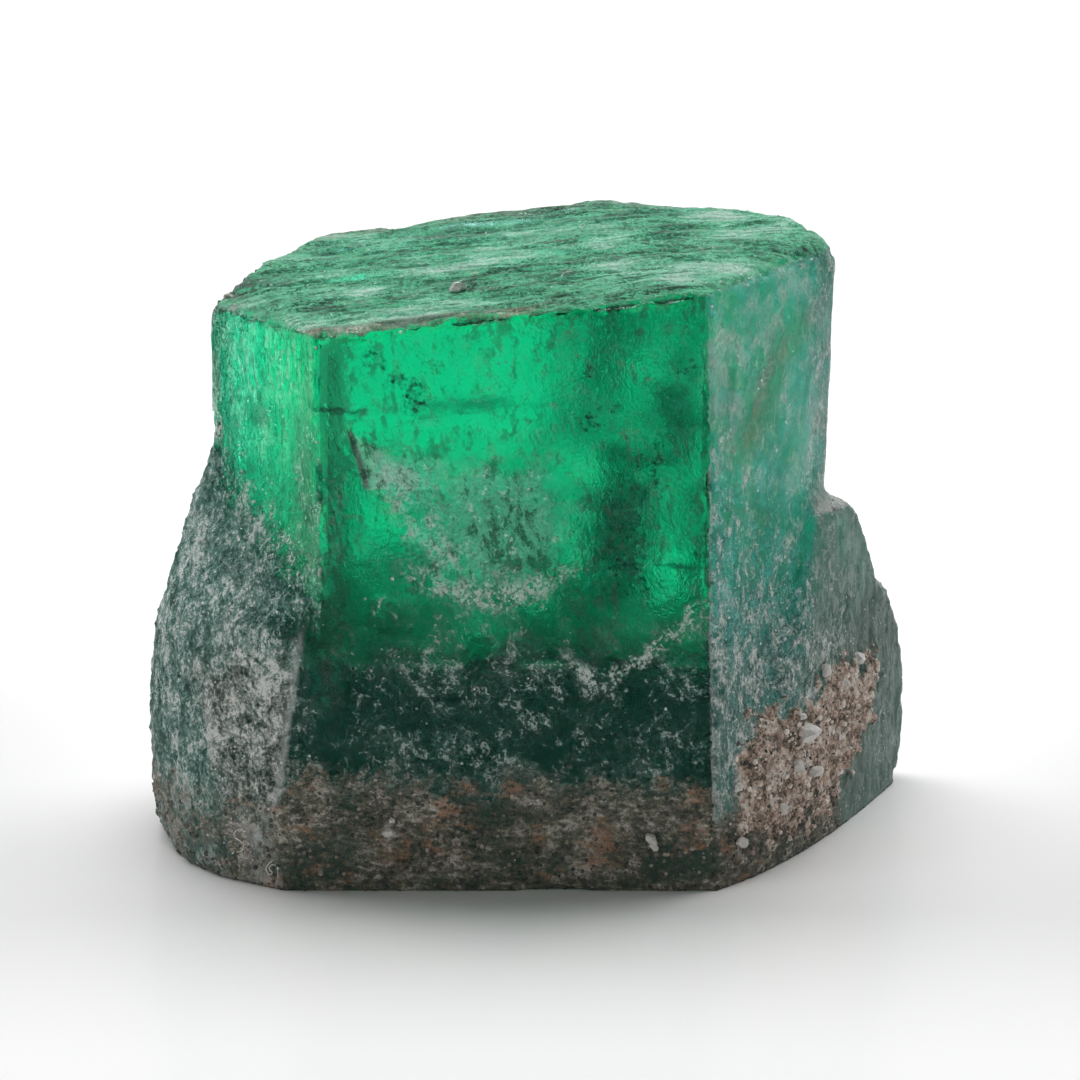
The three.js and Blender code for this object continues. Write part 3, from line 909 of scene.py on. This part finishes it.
class EMERALD_OT_mica_skin(bpy.types.Operator):
    """Lay mica plates over the brown-grey skin at the crystal's foot"""

    bl_idname = "emerald.mica_skin"
    bl_label = "Mica Skin"

    def execute(self, context):
        settings = context.scene.emerald_grains
        material = shade_material("mica", [
            (0.05, (0.022, 0.026, 0.020)), (0.4, (0.080, 0.078, 0.060)), (0.7, (0.160, 0.140, 0.112)),
            (0.93, (0.360, 0.320, 0.280))], 0.55, 0.02, 0.3)
        inputs = {"Plates": settings.mica_plates, "Size": settings.mica_size, "Seed": 11}
        tree, graph, entry = geometry_tree("mica_skin", inputs)
        place = graph.add("GeometryNodeInputPosition")
        cover = graph.smooth(mask(graph, "skin") + graph.noise(place * 1.6, 4.0, 0.6) * 0.9, 0.35, 0.75)
        cover = cover * (1.0 - mask(graph, "patch")) + mask(graph, "patch") * 0.25
        points, lie = surface_points(graph, entry, cover * entry.out("Plates"), entry.out("Seed"))
        size = random_number(graph, 0.3, 1.0, 12) * entry.out("Size")
        grains = instanced(graph, points, plate(graph, 0.3), tilted(graph, lie, 0.35, 13), size, 14, 0.02,
                           material)
        graph.add("NodeGroupOutput", None, {"Geometry": grains})
        finish_grains("mica_plates", tree, inputs, crystal_surface())
        return {"FINISHED"}


class EMERALD_OT_frosting(bpy.types.Operator):
    """Strew fine pale crystals over the frosted faces, the worn edges and the ledges"""

    bl_idname = "emerald.frosting"
    bl_label = "Frosting"

    def execute(self, context):
        settings = context.scene.emerald_grains
        material = shade_material("frost", [
            (0.1, (0.160, 0.230, 0.205)), (0.5, (0.400, 0.470, 0.440)), (0.9, (0.780, 0.820, 0.790))],
            0.45, 0.01, 0.2)
        inputs = {"Crystals": settings.frost_crystals, "Size": settings.frost_size, "Seed": 21}
        tree, graph, entry = geometry_tree("frosting", inputs)
        place = graph.add("GeometryNodeInputPosition")
        vein = 1.0 - graph.size(graph.noise(place * 0.75 + (5.0, 1.0, 2.0), 5.0, 0.6, 0.6)) * 9.0
        clumps = graph.smooth(graph.noise(place * 2.3, 4.0, 0.6), -0.02, 0.16)
        worn = mask(graph, "wear") * graph.smooth(graph.noise(place * 1.4, 3.0), -0.05, 0.1)
        frosted = mask(graph, "frost") * (1.0 - mask(graph, "top") * 0.75)
        cover = frosted * (clumps * 0.8 + graph.smooth(vein, 0.1, 0.9) * 0.9) + worn * 0.7
        cover = cover * (1.0 - mask(graph, "skin") * 0.75) * (1.0 - mask(graph, "front") * 0.45)
        points, _ = surface_points(graph, entry, cover * entry.out("Crystals"), entry.out("Seed"))
        small = random_number(graph, 0.0, 1.0, 22)
        size = (0.35 + small * small * small) * entry.out("Size")
        grains = instanced(graph, points, crumb(graph), tumbled(graph, 23), size, 24, 0.025, material)
        graph.add("NodeGroupOutput", None, {"Geometry": grains})
        finish_grains("frost_crystals", tree, inputs, crystal_surface())
        return {"FINISHED"}


class EMERALD_OT_host_rock(bpy.types.Operator):
    """Grow the pink and white rock patch on the lower right face, and the loose white grains"""

    bl_idname = "emerald.host_rock"
    bl_label = "Host Rock"

    def execute(self, context):
        settings = context.scene.emerald_grains
        rock = shade_material("feldspar", [
            (0.05, (0.110, 0.090, 0.072)), (0.25, (0.300, 0.225, 0.180)), (0.55, (0.580, 0.440, 0.360)),
            (0.85, (0.880, 0.820, 0.750))], 0.6, 0.03, 0.1)
        inputs = {"Grains": settings.rock_grains, "Size": settings.rock_size, "Seed": 31}
        tree, graph, entry = geometry_tree("host_rock", inputs)
        cover = graph.smooth(mask(graph, "patch"), 0.35, 0.8)
        points, _ = surface_points(graph, entry, cover * entry.out("Grains"), entry.out("Seed"))
        small = random_number(graph, 0.0, 1.0, 32)
        size = (0.35 + small * small) * entry.out("Size")
        grains = instanced(graph, points, crumb(graph), tumbled(graph, 33), size, 34, 0.06, rock)
        graph.add("NodeGroupOutput", None, {"Geometry": grains})
        finish_grains("rock_grains", tree, inputs, crystal_surface())
        self.quartz()
        return {"FINISHED"}

    def quartz(self):
        """The larger white grains, each seated on the surface nearest to its place."""
        material = shade_material("quartz", [
            (0.1, (0.380, 0.360, 0.330)), (0.5, (0.600, 0.580, 0.545)), (0.9, (0.800, 0.790, 0.760))],
            0.4, 0.02, 0.1)
        surface = bpy.data.objects["crystal"]
        shape = bmesh.new()
        noise.seed_set(35)
        for number, (across, back, up, size) in enumerate(QUARTZ_GRAINS):
            _, point, normal, _ = surface.closest_point_on_mesh(spot(across, back, up) * MM)
            turn = Matrix.Rotation(number * 2.4, 4, Vector((0.3, 0.5, 0.8)).normalized())
            stretch = Matrix.Diagonal((1.0, 0.72 + 0.2 * math.sin(number * 3.0), 0.6, 1.0))
            seat = Matrix.Translation(point / MM + normal * size * 0.1)
            made = bmesh.ops.create_icosphere(
                shape, subdivisions=2, radius=size / 2, matrix=seat @ turn @ stretch)
            for vert in made["verts"]:
                push = noise.noise_vector(vert.co * 3.1 / size + Vector((number, 0, 0)))
                vert.co += push * size * 0.16
        mesh = bpy.data.meshes.new("quartz_grains")
        shape.to_mesh(mesh)
        shape.free()
        shade = mesh.attributes.new("shade", "FLOAT", "POINT")
        shade.data.foreach_set("value", [0.55] * len(mesh.vertices))
        mesh.materials.append(material)
        mesh.transform(Matrix.Scale(MM, 4))
        piece = link("quartz_grains", mesh)
        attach(piece, BODY)


# ---------------------------------------------------------------------------------------------------
# What is sealed in the crystal


# Each cluster of mica flakes: its middle, its reach across, back and up, and the share that is kept.
MICA_CLUSTERS = (
    (0.350, 0.08, 0.815, 0.45, 0.30, 0.70, 1.0), (0.330, 0.08, 0.850, 0.25, 0.20, 0.30, 0.8),
    (0.622, 0.12, 0.590, 0.80, 0.50, 2.00, 0.5), (0.630, 0.12, 0.520, 0.70, 0.50, 1.00, 0.6),
    (0.577, 0.08, 0.775, 0.40, 0.25, 0.40, 0.9), (0.572, 0.08, 0.862, 0.22, 0.20, 0.30, 0.9),
    (0.665, 0.12, 0.700, 0.35, 0.40, 1.30, 0.5), (0.700, 0.10, 0.860, 0.40, 0.30, 0.40, 0.5),
    (0.720, 0.12, 0.560, 0.40, 0.40, 0.80, 0.4), (0.300, 0.10, 0.880, 0.60, 0.30, 0.40, 0.3),
    (0.485, 0.07, 0.540, 0.18, 0.15, 0.25, 1.0), (0.605, 0.10, 0.800, 0.50, 0.30, 0.20, 0.4),
)
# Each veil: its middle, its width and height, its lean in degrees and, if it is dusky, its roll.
MILKY_VEILS = (
    (0.450, 0.10, 0.615, 5.2, 4.8, 4), (0.430, 0.14, 0.600, 4.6, 4.2, -7),
    (0.330, 0.09, 0.700, 2.8, 2.0, 10), (0.470, 0.17, 0.630, 5.0, 4.0, 9),
)
DUSKY_VEILS = (
    (0.615, 0.30, 0.590, 2.6, 5.4, 25, 8), (0.690, 0.35, 0.780, 2.0, 4.0, -20, -12),
)
# Each cleavage crack: its middle, its width and depth, and how far it tips in degrees.
CLEAVAGES = (
    (0.258, 0.08, 0.792, 1.9, 1.5, 2), (0.420, 0.22, 0.786, 5.0, 3.6, -3),
    (0.700, 0.12, 0.527, 2.2, 1.6, 6), (0.300, 0.16, 0.712, 1.0, 2.2, 62),
    (0.640, 0.30, 0.690, 3.4, 3.0, 5), (0.200, 0.45, 0.720, 2.4, 2.6, 4),
)


def cloud_fill(graph, place):
    """The milky cloud behind the front face: a main room and a lobe to its upper left."""
    main = lobe(graph, place, spot(0.448, 0.14, 0.612), (2.35, 1.0, 2.0))
    arm = lobe(graph, place, spot(0.322, 0.12, 0.705), (1.35, 0.7, 0.95))
    uneven = graph.noise(place * 0.8, 4.0, 0.6) * 2.2 + graph.noise(place * 3.0, 3.0) * 0.8
    return graph.smooth(graph.most(main, arm) + uneven, 0.05, 0.75)


def rim_fill(graph, place):
    """The granular rim under the cloud."""
    main = lobe(graph, place, spot(0.448, 0.12, 0.612), (2.1, 0.8, 2.15))
    band = graph.smooth(main, -0.22, 0.0) * graph.smooth(main, 0.26, 0.04)
    low = graph.smooth(graph.split(place)[2], 10.2, 8.6)
    return band * low * graph.smooth(graph.noise(place * 1.5, 4.0, 0.6), -0.1, 0.12)


def scattered_fill(graph, place):
    """Loose specks all through the clear upper half, thicker in wisps."""
    wisps = graph.smooth(graph.noise(place * 0.55 + (3.0, 8.0, 1.0), 5.0, 0.65, 0.5), 0.0, 0.22)
    return wisps * 0.9 + 0.08


def cluster_fill(centre, reach, share):
    """A fill for an egg-shaped room, thickest at its middle, that keeps a share of the points."""
    def fill(graph, place):
        room = lobe(graph, place, centre, reach)
        return graph.smooth(room + graph.noise(place * 2.5, 4.0, 0.6) * 2.0, 0.0, 0.8) * share
    return fill


class EMERALD_OT_inner_cloud(bpy.types.Operator):
    """Fill the milky cloud and its granular rim, and strew pale specks through the clear half"""

    bl_idname = "emerald.inner_cloud"
    bl_label = "Inner Cloud"

    def execute(self, context):
        settings = context.scene.emerald_inclusions
        pale = shade_material("cloud", [
            (0.1, (0.600, 0.740, 0.670)), (0.9, (0.880, 0.940, 0.900))], 0.6)
        box_low, box_high = spot(0.25, 0.03, 0.45), spot(0.62, 0.26, 0.80)
        self.fill("cloud_specks", settings.cloud_specks, 0.07, box_low, box_high, cloud_fill, 41, pale)
        self.fill("cloud_rim", settings.rim_specks, 0.11, box_low, box_high, rim_fill, 45, pale)
        box_low, box_high = spot(0.12, 0.03, 0.42), spot(0.84, 0.55, 0.90)
        self.fill("loose_specks", settings.loose_specks, 0.05, box_low, box_high, scattered_fill, 49, pale)
        return {"FINISHED"}

    def fill(self, name, count, size, room_low, room_high, fill, seed, material):
        inputs = {"Count": count, "Size": size}
        tree, graph, entry = geometry_tree(name, inputs)
        points = space_points(graph, entry.out("Count"), room_low, room_high, fill, seed)
        small = random_number(graph, 0.0, 1.0, seed + 2)
        scale = (0.4 + small * small) * entry.out("Size")
        flat = graph.vector(1.0, 1.0, 0.45) * scale
        turns = tumbled(graph, seed + 3)
        grains = instanced(graph, points, crumb(graph), turns, flat, seed, 0.012, material)
        graph.add("NodeGroupOutput", None, {"Geometry": grains})
        finish_grains(name, tree, inputs, empty_mesh())


class EMERALD_OT_inner_mica(bpy.types.Operator):
    """Seal dark mica flakes and fine upright growth needles in the crystal"""

    bl_idname = "emerald.inner_mica"
    bl_label = "Inner Mica"

    def execute(self, context):
        settings = context.scene.emerald_inclusions
        dark = shade_material("inner_mica", [
            (0.1, (0.002, 0.016, 0.008)), (0.7, (0.012, 0.050, 0.030)), (0.95, (0.060, 0.120, 0.080))], 0.4)
        inputs = {"Size": 0.1}
        tree, graph, entry = geometry_tree("inner_mica", inputs)
        rooms = graph.add("GeometryNodeJoinGeometry")
        for number, (across, back, up, wide, deep, tall, share) in enumerate(MICA_CLUSTERS):
            centre = spot(across, back, up)
            reach = Vector((wide, deep, tall))
            count = int(settings.mica_flakes * 8.0 * wide * deep * tall)
            points = space_points(graph, count, centre - reach, centre + reach,
                                  cluster_fill(centre, reach, share), 61 + number * 2)
            graph.plug(rooms.socket.node.inputs["Geometry"], points)
        small = random_number(graph, 0.0, 1.0, 163)
        scale = (0.25 + small * small) * entry.out("Size")
        grains = instanced(graph, rooms, plate(graph), tumbled(graph, 164), scale, 165, 0.03, dark)
        graph.add("NodeGroupOutput", None, {"Geometry": grains})
        finish_grains("mica_flakes", tree, inputs, empty_mesh())

        pale = shade_material("needle", [
            (0.1, (0.060, 0.160, 0.110)), (0.5, (0.300, 0.480, 0.390)), (0.95, (0.700, 0.820, 0.760))], 0.5)
        inputs = {"Count": settings.needles, "Length": 0.6}
        tree, graph, entry = geometry_tree("growth_needles", inputs)
        points = space_points(graph, entry.out("Count"), spot(0.11, 0.04, 0.46), spot(0.86, 0.92, 0.90),
                              scattered_fill, 71)
        length = random_number(graph, 0.2, 1.0, 73) * entry.out("Length")
        scale = graph.vector(0.016, 0.016, length)
        lean = random_vector(graph, (-0.05, -0.05, 0.0), (0.05, 0.05, 3.0), 74)
        grains = instanced(graph, points, needle(graph), lean, scale, 75, 0.006, pale)
        graph.add("NodeGroupOutput", None, {"Geometry": grains})
        finish_grains("growth_needles", tree, inputs, empty_mesh())
        return {"FINISHED"}


def veil_material(name, colour, most, roughness):
    """A thin sealed sheet: it fades out at its edge and is broken up inside."""
    material, graph = new_material(name)
    place = object_place(graph)
    middle = attribute(graph, "middle")
    drift = graph.noise(place * 1.1, 6.0, 0.66, 0.4)
    grain = graph.noise(place * 9.0, 5.0, 0.7)
    thick = graph.smooth(middle + drift * 3.6 + grain * 1.2, 0.15, 1.0)
    tone = graph.tint(graph.smooth(grain, -0.2, 0.2), tuple(c * 0.8 for c in colour), colour)
    surface = graph.add("ShaderNodeBsdfPrincipled", None, {
        "Base Color": tone, "Roughness": roughness, "Alpha": thick * most})
    graph.add("ShaderNodeOutputMaterial", None, {"Surface": surface})
    return material


def add_sheet(name, centre, width, height, turn, bow, material, seed, steps=36):
    """A thin closed sheet in the crystal, in millimetres: bowed, wavy, and marked by how near its middle
    each point is."""
    shape = bmesh.new()
    layer = shape.verts.layers.float.new("middle")
    rows = []
    for row in range(steps + 1):
        line = []
        for column in range(steps + 1):
            u = 2.0 * column / steps - 1.0
            v = 2.0 * row / steps - 1.0
            lift = bow * (1.0 - u * u - v * v)
            lift += 0.16 * noise.fractal(Vector((u * 2.2, v * 2.2, seed)), 1.0, 2.0, 4)
            vert = shape.verts.new((u * width / 2, v * height / 2, lift))
            vert[layer] = max(0.0, 1.0 - math.hypot(u, v))
            line.append(vert)
        rows.append(line)
    for row in range(steps):
        for column in range(steps):
            shape.faces.new((rows[row][column], rows[row][column + 1],
                             rows[row + 1][column + 1], rows[row + 1][column]))
    mesh = bpy.data.meshes.new(name)
    shape.to_mesh(mesh)
    shape.free()
    mesh.transform(Matrix.Translation(centre) @ turn)
    mesh.materials.append(material)
    piece = link(name, mesh)
    skin = piece.modifiers.new("skin", "SOLIDIFY")
    skin.thickness = 0.004
    keep_result(piece)
    piece.data.transform(Matrix.Scale(MM, 4))
    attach(piece, BODY)
    return piece


class EMERALD_OT_inner_veils(bpy.types.Operator):
    """Seal the milky veils, the healed fractures and the flat cleavage cracks in the crystal"""

    bl_idname = "emerald.inner_veils"
    bl_label = "Inner Veils"

    def execute(self, context):
        milky = veil_material("milky_veil", (0.62, 0.97, 0.80), 0.15, 0.7)
        dusky = veil_material("dusky_veil", (0.006, 0.050, 0.028), 0.5, 0.5)
        glassy = veil_material("glassy_crack", (0.10, 0.30, 0.20), 0.4, 0.2)
        upright = Matrix.Rotation(math.radians(90), 4, "X")
        for number, (across, back, up, width, height, lean) in enumerate(MILKY_VEILS):
            turn = Matrix.Rotation(math.radians(lean), 4, "Z") @ upright
            add_sheet(f"milky_veil_{number}", spot(across, back, up), width, height, turn, 0.12, milky,
                      number + 1.5)
        for number, (across, back, up, width, height, lean, roll) in enumerate(DUSKY_VEILS):
            turn = (Matrix.Rotation(math.radians(lean), 4, "Z")
                    @ Matrix.Rotation(math.radians(roll), 4, "Y") @ upright)
            add_sheet(f"dusky_veil_{number}", spot(across, back, up), width, height, turn, 0.3, dusky,
                      number + 7.5)
        for number, (across, back, up, width, depth, tip) in enumerate(CLEAVAGES):
            turn = Matrix.Rotation(math.radians(tip), 4, "Y")
            add_sheet(f"cleavage_{number}", spot(across, back, up), width, depth, turn, 0.05, glassy,
                      number + 15.5, 24)
        return {"FINISHED"}


class EMERALD_OT_lint(bpy.types.Operator):
    """Lay a few fine curled fibres of lint on the crystal"""

    bl_idname = "emerald.lint"
    bl_label = "Lint"

    def execute(self, context):
        material, graph = new_material("lint")
        streak = graph.noise(object_place(graph) * 20.0, 3.0)
        colour = graph.tint(graph.smooth(streak, -0.2, 0.2), (0.55, 0.54, 0.52), (0.85, 0.84, 0.82))
        surface = graph.add("ShaderNodeBsdfPrincipled", None, {"Base Color": colour, "Roughness": 0.8})
        graph.add("ShaderNodeOutputMaterial", None, {"Surface": surface})
        shape = bmesh.new()
        for number, (across, back, up, reach, curl, heading) in enumerate(FIBRES):
            self.fibre(shape, spot(across, back, up), reach, curl, math.radians(heading), number)
        mesh = bpy.data.meshes.new("lint")
        shape.to_mesh(mesh)
        shape.free()
        mesh.materials.append(material)
        mesh.transform(Matrix.Scale(MM, 4))
        piece = link("lint", mesh)
        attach(piece, BODY)
        return {"FINISHED"}

    def fibre(self, shape, place, reach, curl, heading, number, steps=18, sides=6, radius=0.014):
        """One curled fibre, laid on the surface nearest to a place."""
        surface = bpy.data.objects["crystal"]
        _, point, normal, _ = surface.closest_point_on_mesh(place * MM)
        across = normal.cross(Vector((0.0, 0.0, 1.0)))
        across = (across if across.length > 0.1 else Vector((1.0, 0.0, 0.0))).normalized()
        up = normal.cross(across)
        rings = []
        spine = []
        for step in range(steps + 1):
            run = step / steps - 0.5
            swing = heading + curl * math.sin(run * 5.0 + number)
            drift = Vector((math.cos(swing), math.sin(swing))) * run * reach
            aim = point + (across * drift.x + up * drift.y) * MM
            _, near, out, _ = surface.closest_point_on_mesh(aim)
            spine.append(near / MM + out * (radius + 0.03 + 0.04 * math.cos(run * 7.0)))
        for step, centre in enumerate(spine):
            ahead = spine[min(step + 1, steps)] - spine[max(step - 1, 0)]
            side = ahead.cross(normal).normalized()
            over = side.cross(ahead).normalized()
            thick = radius * (0.35 if step in (0, steps) else 1.0)
            rings.append([shape.verts.new(centre + thick * (
                side * math.cos(2 * math.pi * k / sides) + over * math.sin(2 * math.pi * k / sides)))
                for k in range(sides)])
        for first, second in zip(rings, rings[1:]):
            for k in range(sides):
                shape.faces.new((first[k], first[(k + 1) % sides], second[(k + 1) % sides], second[k]))
        shape.faces.new(reversed(rings[0]))
        shape.faces.new(rings[-1])


# ---------------------------------------------------------------------------------------------------
# The stage


def add_softbox(name, middle, shift, aim, width, depth, power):
    """A rectangular soft light at a shift from the middle, shining along aim."""
    data = bpy.data.lights.new(name, "AREA")
    data.shape = "RECTANGLE"
    data.size = width
    data.size_y = depth
    data.energy = power
    lamp = bpy.data.objects.new(name, data)
    bpy.context.scene.collection.objects.link(lamp)
    lamp.location = middle + shift
    lamp.rotation_euler = aim.to_track_quat("-Z", "Y").to_euler()


def add_card(name, x, near, far, height):
    """A dark card that stands at one side, out of the camera's view."""
    mesh = bpy.data.meshes.new(name)
    corners = [(x, near, LOW.z), (x, far, LOW.z), (x, far, height), (x, near, height)]
    mesh.from_pydata(corners, [], [(0, 1, 2, 3)])
    material, graph = new_material(name)
    surface = graph.add("ShaderNodeBsdfPrincipled", None, {
        "Base Color": (0.01, 0.01, 0.01), "Roughness": 0.9})
    graph.add("ShaderNodeOutputMaterial", None, {"Surface": surface})
    mesh.materials.append(material)
    piece = link(name, mesh)
    piece.visible_camera = False


class EMERALD_OT_stage(bpy.types.Operator):
    """Make the floor, the dark side cards, the lights and the camera"""

    bl_idname = "emerald.stage"
    bl_label = "Stage"

    def execute(self, context):
        settings = context.scene.emerald_stage
        middle = (LOW + HIGH) / 2
        self.floor(settings)
        self.world(context, settings)
        self.lights(middle)
        self.cards(settings)
        self.camera(context, settings, middle)
        return {"FINISHED"}

    def floor(self, settings):
        mesh = bpy.data.meshes.new("floor")
        reach = settings.floor_width / 2
        height = LOW.z - FLOOR_GAP
        corners = [(-reach, -reach, height), (reach, -reach, height), (reach, reach, height),
                   (-reach, reach, height)]
        mesh.from_pydata(corners, [], [(0, 1, 2, 3)])
        piece = link("floor", mesh)
        material, graph = new_material("floor")
        surface = graph.add("ShaderNodeBsdfPrincipled", None, {
            "Base Color": tuple(settings.floor_colour), "Roughness": 0.2})
        graph.add("ShaderNodeOutputMaterial", None, {"Surface": surface})
        mesh.materials.append(material)

    def world(self, context, settings):
        world = bpy.data.worlds.new("surroundings")
        world.use_nodes = True
        world.node_tree.nodes.clear()
        graph = Graph(world.node_tree)
        across, back, height = graph.split(graph.add("ShaderNodeTexCoord", None, None, "Generated"))
        # Directions run from -1 to 1; a window stands behind the crystal at either side.
        aside = graph.size(across)
        windows = graph.smooth(aside, 0.4, 0.56) * graph.smooth(aside, 0.86, 0.76)
        windows = windows * graph.smooth(back, 0.2, 0.4)
        tent = graph.smooth(height, 0.45, 0.12)
        strength = settings.sky + tent * (settings.tent - settings.sky + windows * settings.windows)
        light = graph.add("ShaderNodeBackground", None, {"Color": (1.0, 1.0, 1.0), "Strength": strength})
        graph.add("ShaderNodeOutputWorld", None, {"Surface": light})
        context.scene.world = world

    def lights(self, middle):
        """The big light overhead, a fill at the left, and two small ones over the floor at the back."""
        down = Vector((0.0, 0.0, -1.0))
        aside = Vector((0.3, 0.16, -0.2))
        add_softbox("top_light", middle, Vector((0.0, 0.185, 0.4)), down, 0.8, 0.3, 3.9)
        add_softbox("left_light", middle, -aside, aside, 0.16, 0.16, 0.2)
        for name, across, power in (
                ("right_floor_light", 0.029, 0.010), ("left_floor_light", -0.029, 0.004)):
            add_softbox(name, middle, Vector((across, 0.033, 0.003)), down, 0.014, 0.014, power)

    def cards(self, settings):
        places = {"left_card": LOW.x - settings.card_gap, "right_card": HIGH.x + settings.card_gap}
        for name, x in places.items():
            add_card(name, x, settings.card_near, settings.card_far, settings.card_height)

    def camera(self, context, settings, middle):
        data = bpy.data.cameras.new("camera")
        data.lens = settings.lens
        data.sensor_width = 36.0
        data.clip_start = 0.01
        data.clip_end = 10.0
        distance = settings.view_width * data.lens / data.sensor_width
        camera = bpy.data.objects.new("camera", data)
        context.scene.collection.objects.link(camera)
        aim = Vector((middle.x + AIM_SHIFT, middle.y, AIM_HEIGHT))
        back = Vector((0.0, -math.cos(settings.elevation), math.sin(settings.elevation)))
        camera.location = aim + back * distance
        camera.rotation_mode = "QUATERNION"
        camera.rotation_quaternion = back.to_track_quat("Z", "Y")
        context.scene.camera = camera


class EMERALD_PT_panel(bpy.types.Panel):
    """The steps that build the emerald, in order"""

    bl_idname = "EMERALD_PT_panel"
    bl_label = "Raw Emerald"
    bl_space_type = "VIEW_3D"
    bl_region_type = "UI"
    bl_category = "Emerald"

    def draw(self, context):
        for step in STEPS:
            self.layout.operator(step.bl_idname)


STEPS = (
    EMERALD_OT_stage, EMERALD_OT_crystal, EMERALD_OT_mica_skin, EMERALD_OT_frosting, EMERALD_OT_host_rock,
    EMERALD_OT_inner_cloud, EMERALD_OT_inner_mica, EMERALD_OT_inner_veils, EMERALD_OT_lint)
SETTINGS = {
    "emerald_crystal": CrystalSettings,
    "emerald_grains": GrainSettings,
    "emerald_inclusions": InclusionSettings,
    "emerald_stage": StageSettings,
}
CLASSES = (*SETTINGS.values(), *STEPS, EMERALD_PT_panel)


def register():
    for item in CLASSES:
        bpy.utils.register_class(item)
    for name, group in SETTINGS.items():
        setattr(bpy.types.Scene, name, PointerProperty(type=group))


def unregister():
    for name in SETTINGS:
        delattr(bpy.types.Scene, name)
    for item in reversed(CLASSES):
        bpy.utils.unregister_class(item)


def set_picture(scene):
    scene.view_settings.view_transform = "Standard"
    scene.cycles.max_bounces = 14
    scene.cycles.transmission_bounces = 12
    scene.cycles.transparent_max_bounces = 24


def main():
    register()
    set_picture(bpy.context.scene)
    bpy.ops.emerald.stage()
    bpy.ops.emerald.crystal()
    bpy.ops.emerald.mica_skin()
    bpy.ops.emerald.frosting()
    bpy.ops.emerald.host_rock()
    bpy.ops.emerald.inner_cloud()
    bpy.ops.emerald.inner_mica()
    bpy.ops.emerald.inner_veils()
    bpy.ops.emerald.lint()
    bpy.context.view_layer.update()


if __name__ == "__main__":
    main()
